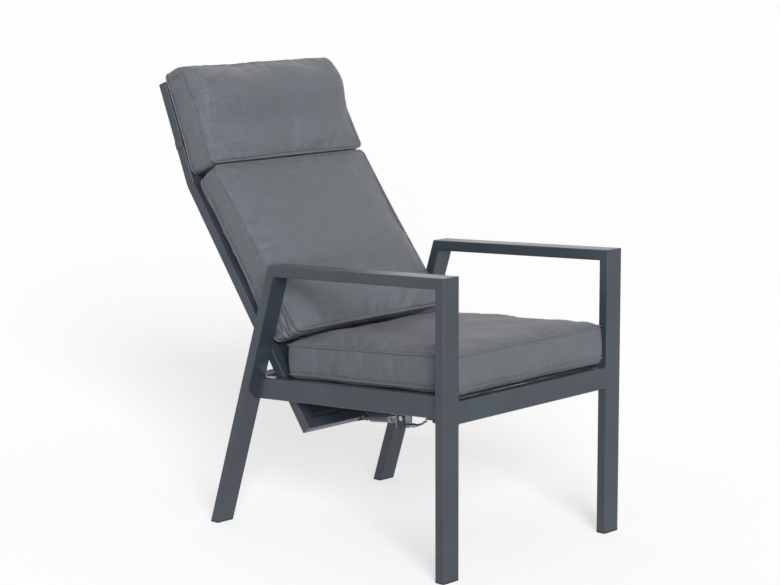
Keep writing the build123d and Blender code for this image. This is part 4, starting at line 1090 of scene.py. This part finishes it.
for finish, pieces in (
    (coat, welds),
    (cloth, [seat, back, head]),
    (piping_cloth, seat_piping + back_piping + head_piping),
    (finishes["sling"], [seat_sling, back_sling] + hems),
    (finishes["strap"], [strap]),
    (finishes["sheath"], [cable]),
    (finishes["zinc"], [ferrule]),
):
    for obj in pieces:
        obj.data.materials.append(finish)


# Floor, light and camera

FLOOR_HALF = 100.0
CAMERA_PLACE = (-3.686, -3.601675, 1.413)
CAMERA_TURN = -45.97
CAMERA_DOWN = 9.59
CAMERA_ROLL = -0.22
CAMERA_LENS = 103.0


def seen_rays(tree):
    """1 for camera, mirror and clear rays, 0 for the light on the chair."""
    path = add(tree, "LightPath")
    seen = maths(tree, "MAXIMUM", path.outputs["Is Camera Ray"], path.outputs["Is Glossy Ray"])
    return maths(tree, "MAXIMUM", seen, path.outputs["Is Transmission Ray"])


def stage_floor():
    """A pale floor, 200 m square, level with the underside of the feet."""
    points = np.array([(-1, -1, 0), (1, -1, 0), (1, 1, 0), (-1, 1, 0)]) * FLOOR_HALF
    obj = mesh_object("floor", points, [[0, 1, 2, 3]])
    made, tree, shader = material("matt_white_floor", Roughness=1.0, IOR=1.3)
    shader.inputs["Specular IOR Level"].default_value = 0.0
    # Seen by the camera or in gloss it is white; it lights the object less
    seen = seen_rays(tree)
    tree.links.new(shade(tree, seen, "#A0A0A0", "#F4F4F4"), shader.inputs["Base Color"])
    shader.inputs["Emission Color"].default_value = (1.0, 1.0, 1.0, 1.0)
    tree.links.new(maths(tree, "MULTIPLY", seen, 0.55), shader.inputs["Emission Strength"])
    obj.data.materials.append(made)


def world_light():
    """Even grey light; camera, mirror and clear rays see plain white."""
    world = bpy.data.worlds.new("studio")
    world.use_nodes = True
    tree = world.node_tree
    tree.nodes.clear()
    strength = ranged(tree, seen_rays(tree), 0.0, 1.0, 0.22, 1.0)
    light = add(tree, "Background", values={"Color": (1, 1, 1, 1)}, links={"Strength": strength})
    add(tree, "OutputWorld", links={"Surface": light.outputs[0]})
    bpy.context.scene.world = world


def sun(name, towards, energy, angle):
    """A broad soft light from a direction."""
    lamp = bpy.data.lights.new(name, "SUN")
    lamp.energy = energy
    lamp.angle = math.radians(angle)
    obj = bpy.data.objects.new(name, lamp)
    obj.rotation_euler = Vector(towards).to_track_quat("Z", "Y").to_euler()
    bpy.context.scene.collection.objects.link(obj)


def photo_camera():
    """Camera at the photograph's place and angle."""
    lens = bpy.data.cameras.new("photo")
    lens.lens = CAMERA_LENS
    lens.sensor_width = 36.0
    lens.clip_end = 500.0
    obj = bpy.data.objects.new("photo", lens)
    turn = Matrix.Rotation(math.radians(CAMERA_TURN), 4, "Z")
    tilt = Matrix.Rotation(math.radians(90 - CAMERA_DOWN), 4, "X")
    roll = Matrix.Rotation(math.radians(CAMERA_ROLL), 4, "Z")
    obj.matrix_world = Matrix.Translation(CAMERA_PLACE) @ turn @ tilt @ roll
    bpy.context.scene.collection.objects.link(obj)
    bpy.context.scene.camera = obj


stage_floor()
world_light()
sun("front", (-0.55, -0.76, 0.38), 1.95, 22)
sun("low side", (-0.72, -0.69, 0.05), 1.0, 9)
sun("rear", (0.5, 0.8, 0.35), 0.12, 50)
photo_camera()
bpy.context.scene.view_settings.view_transform = "Standard"
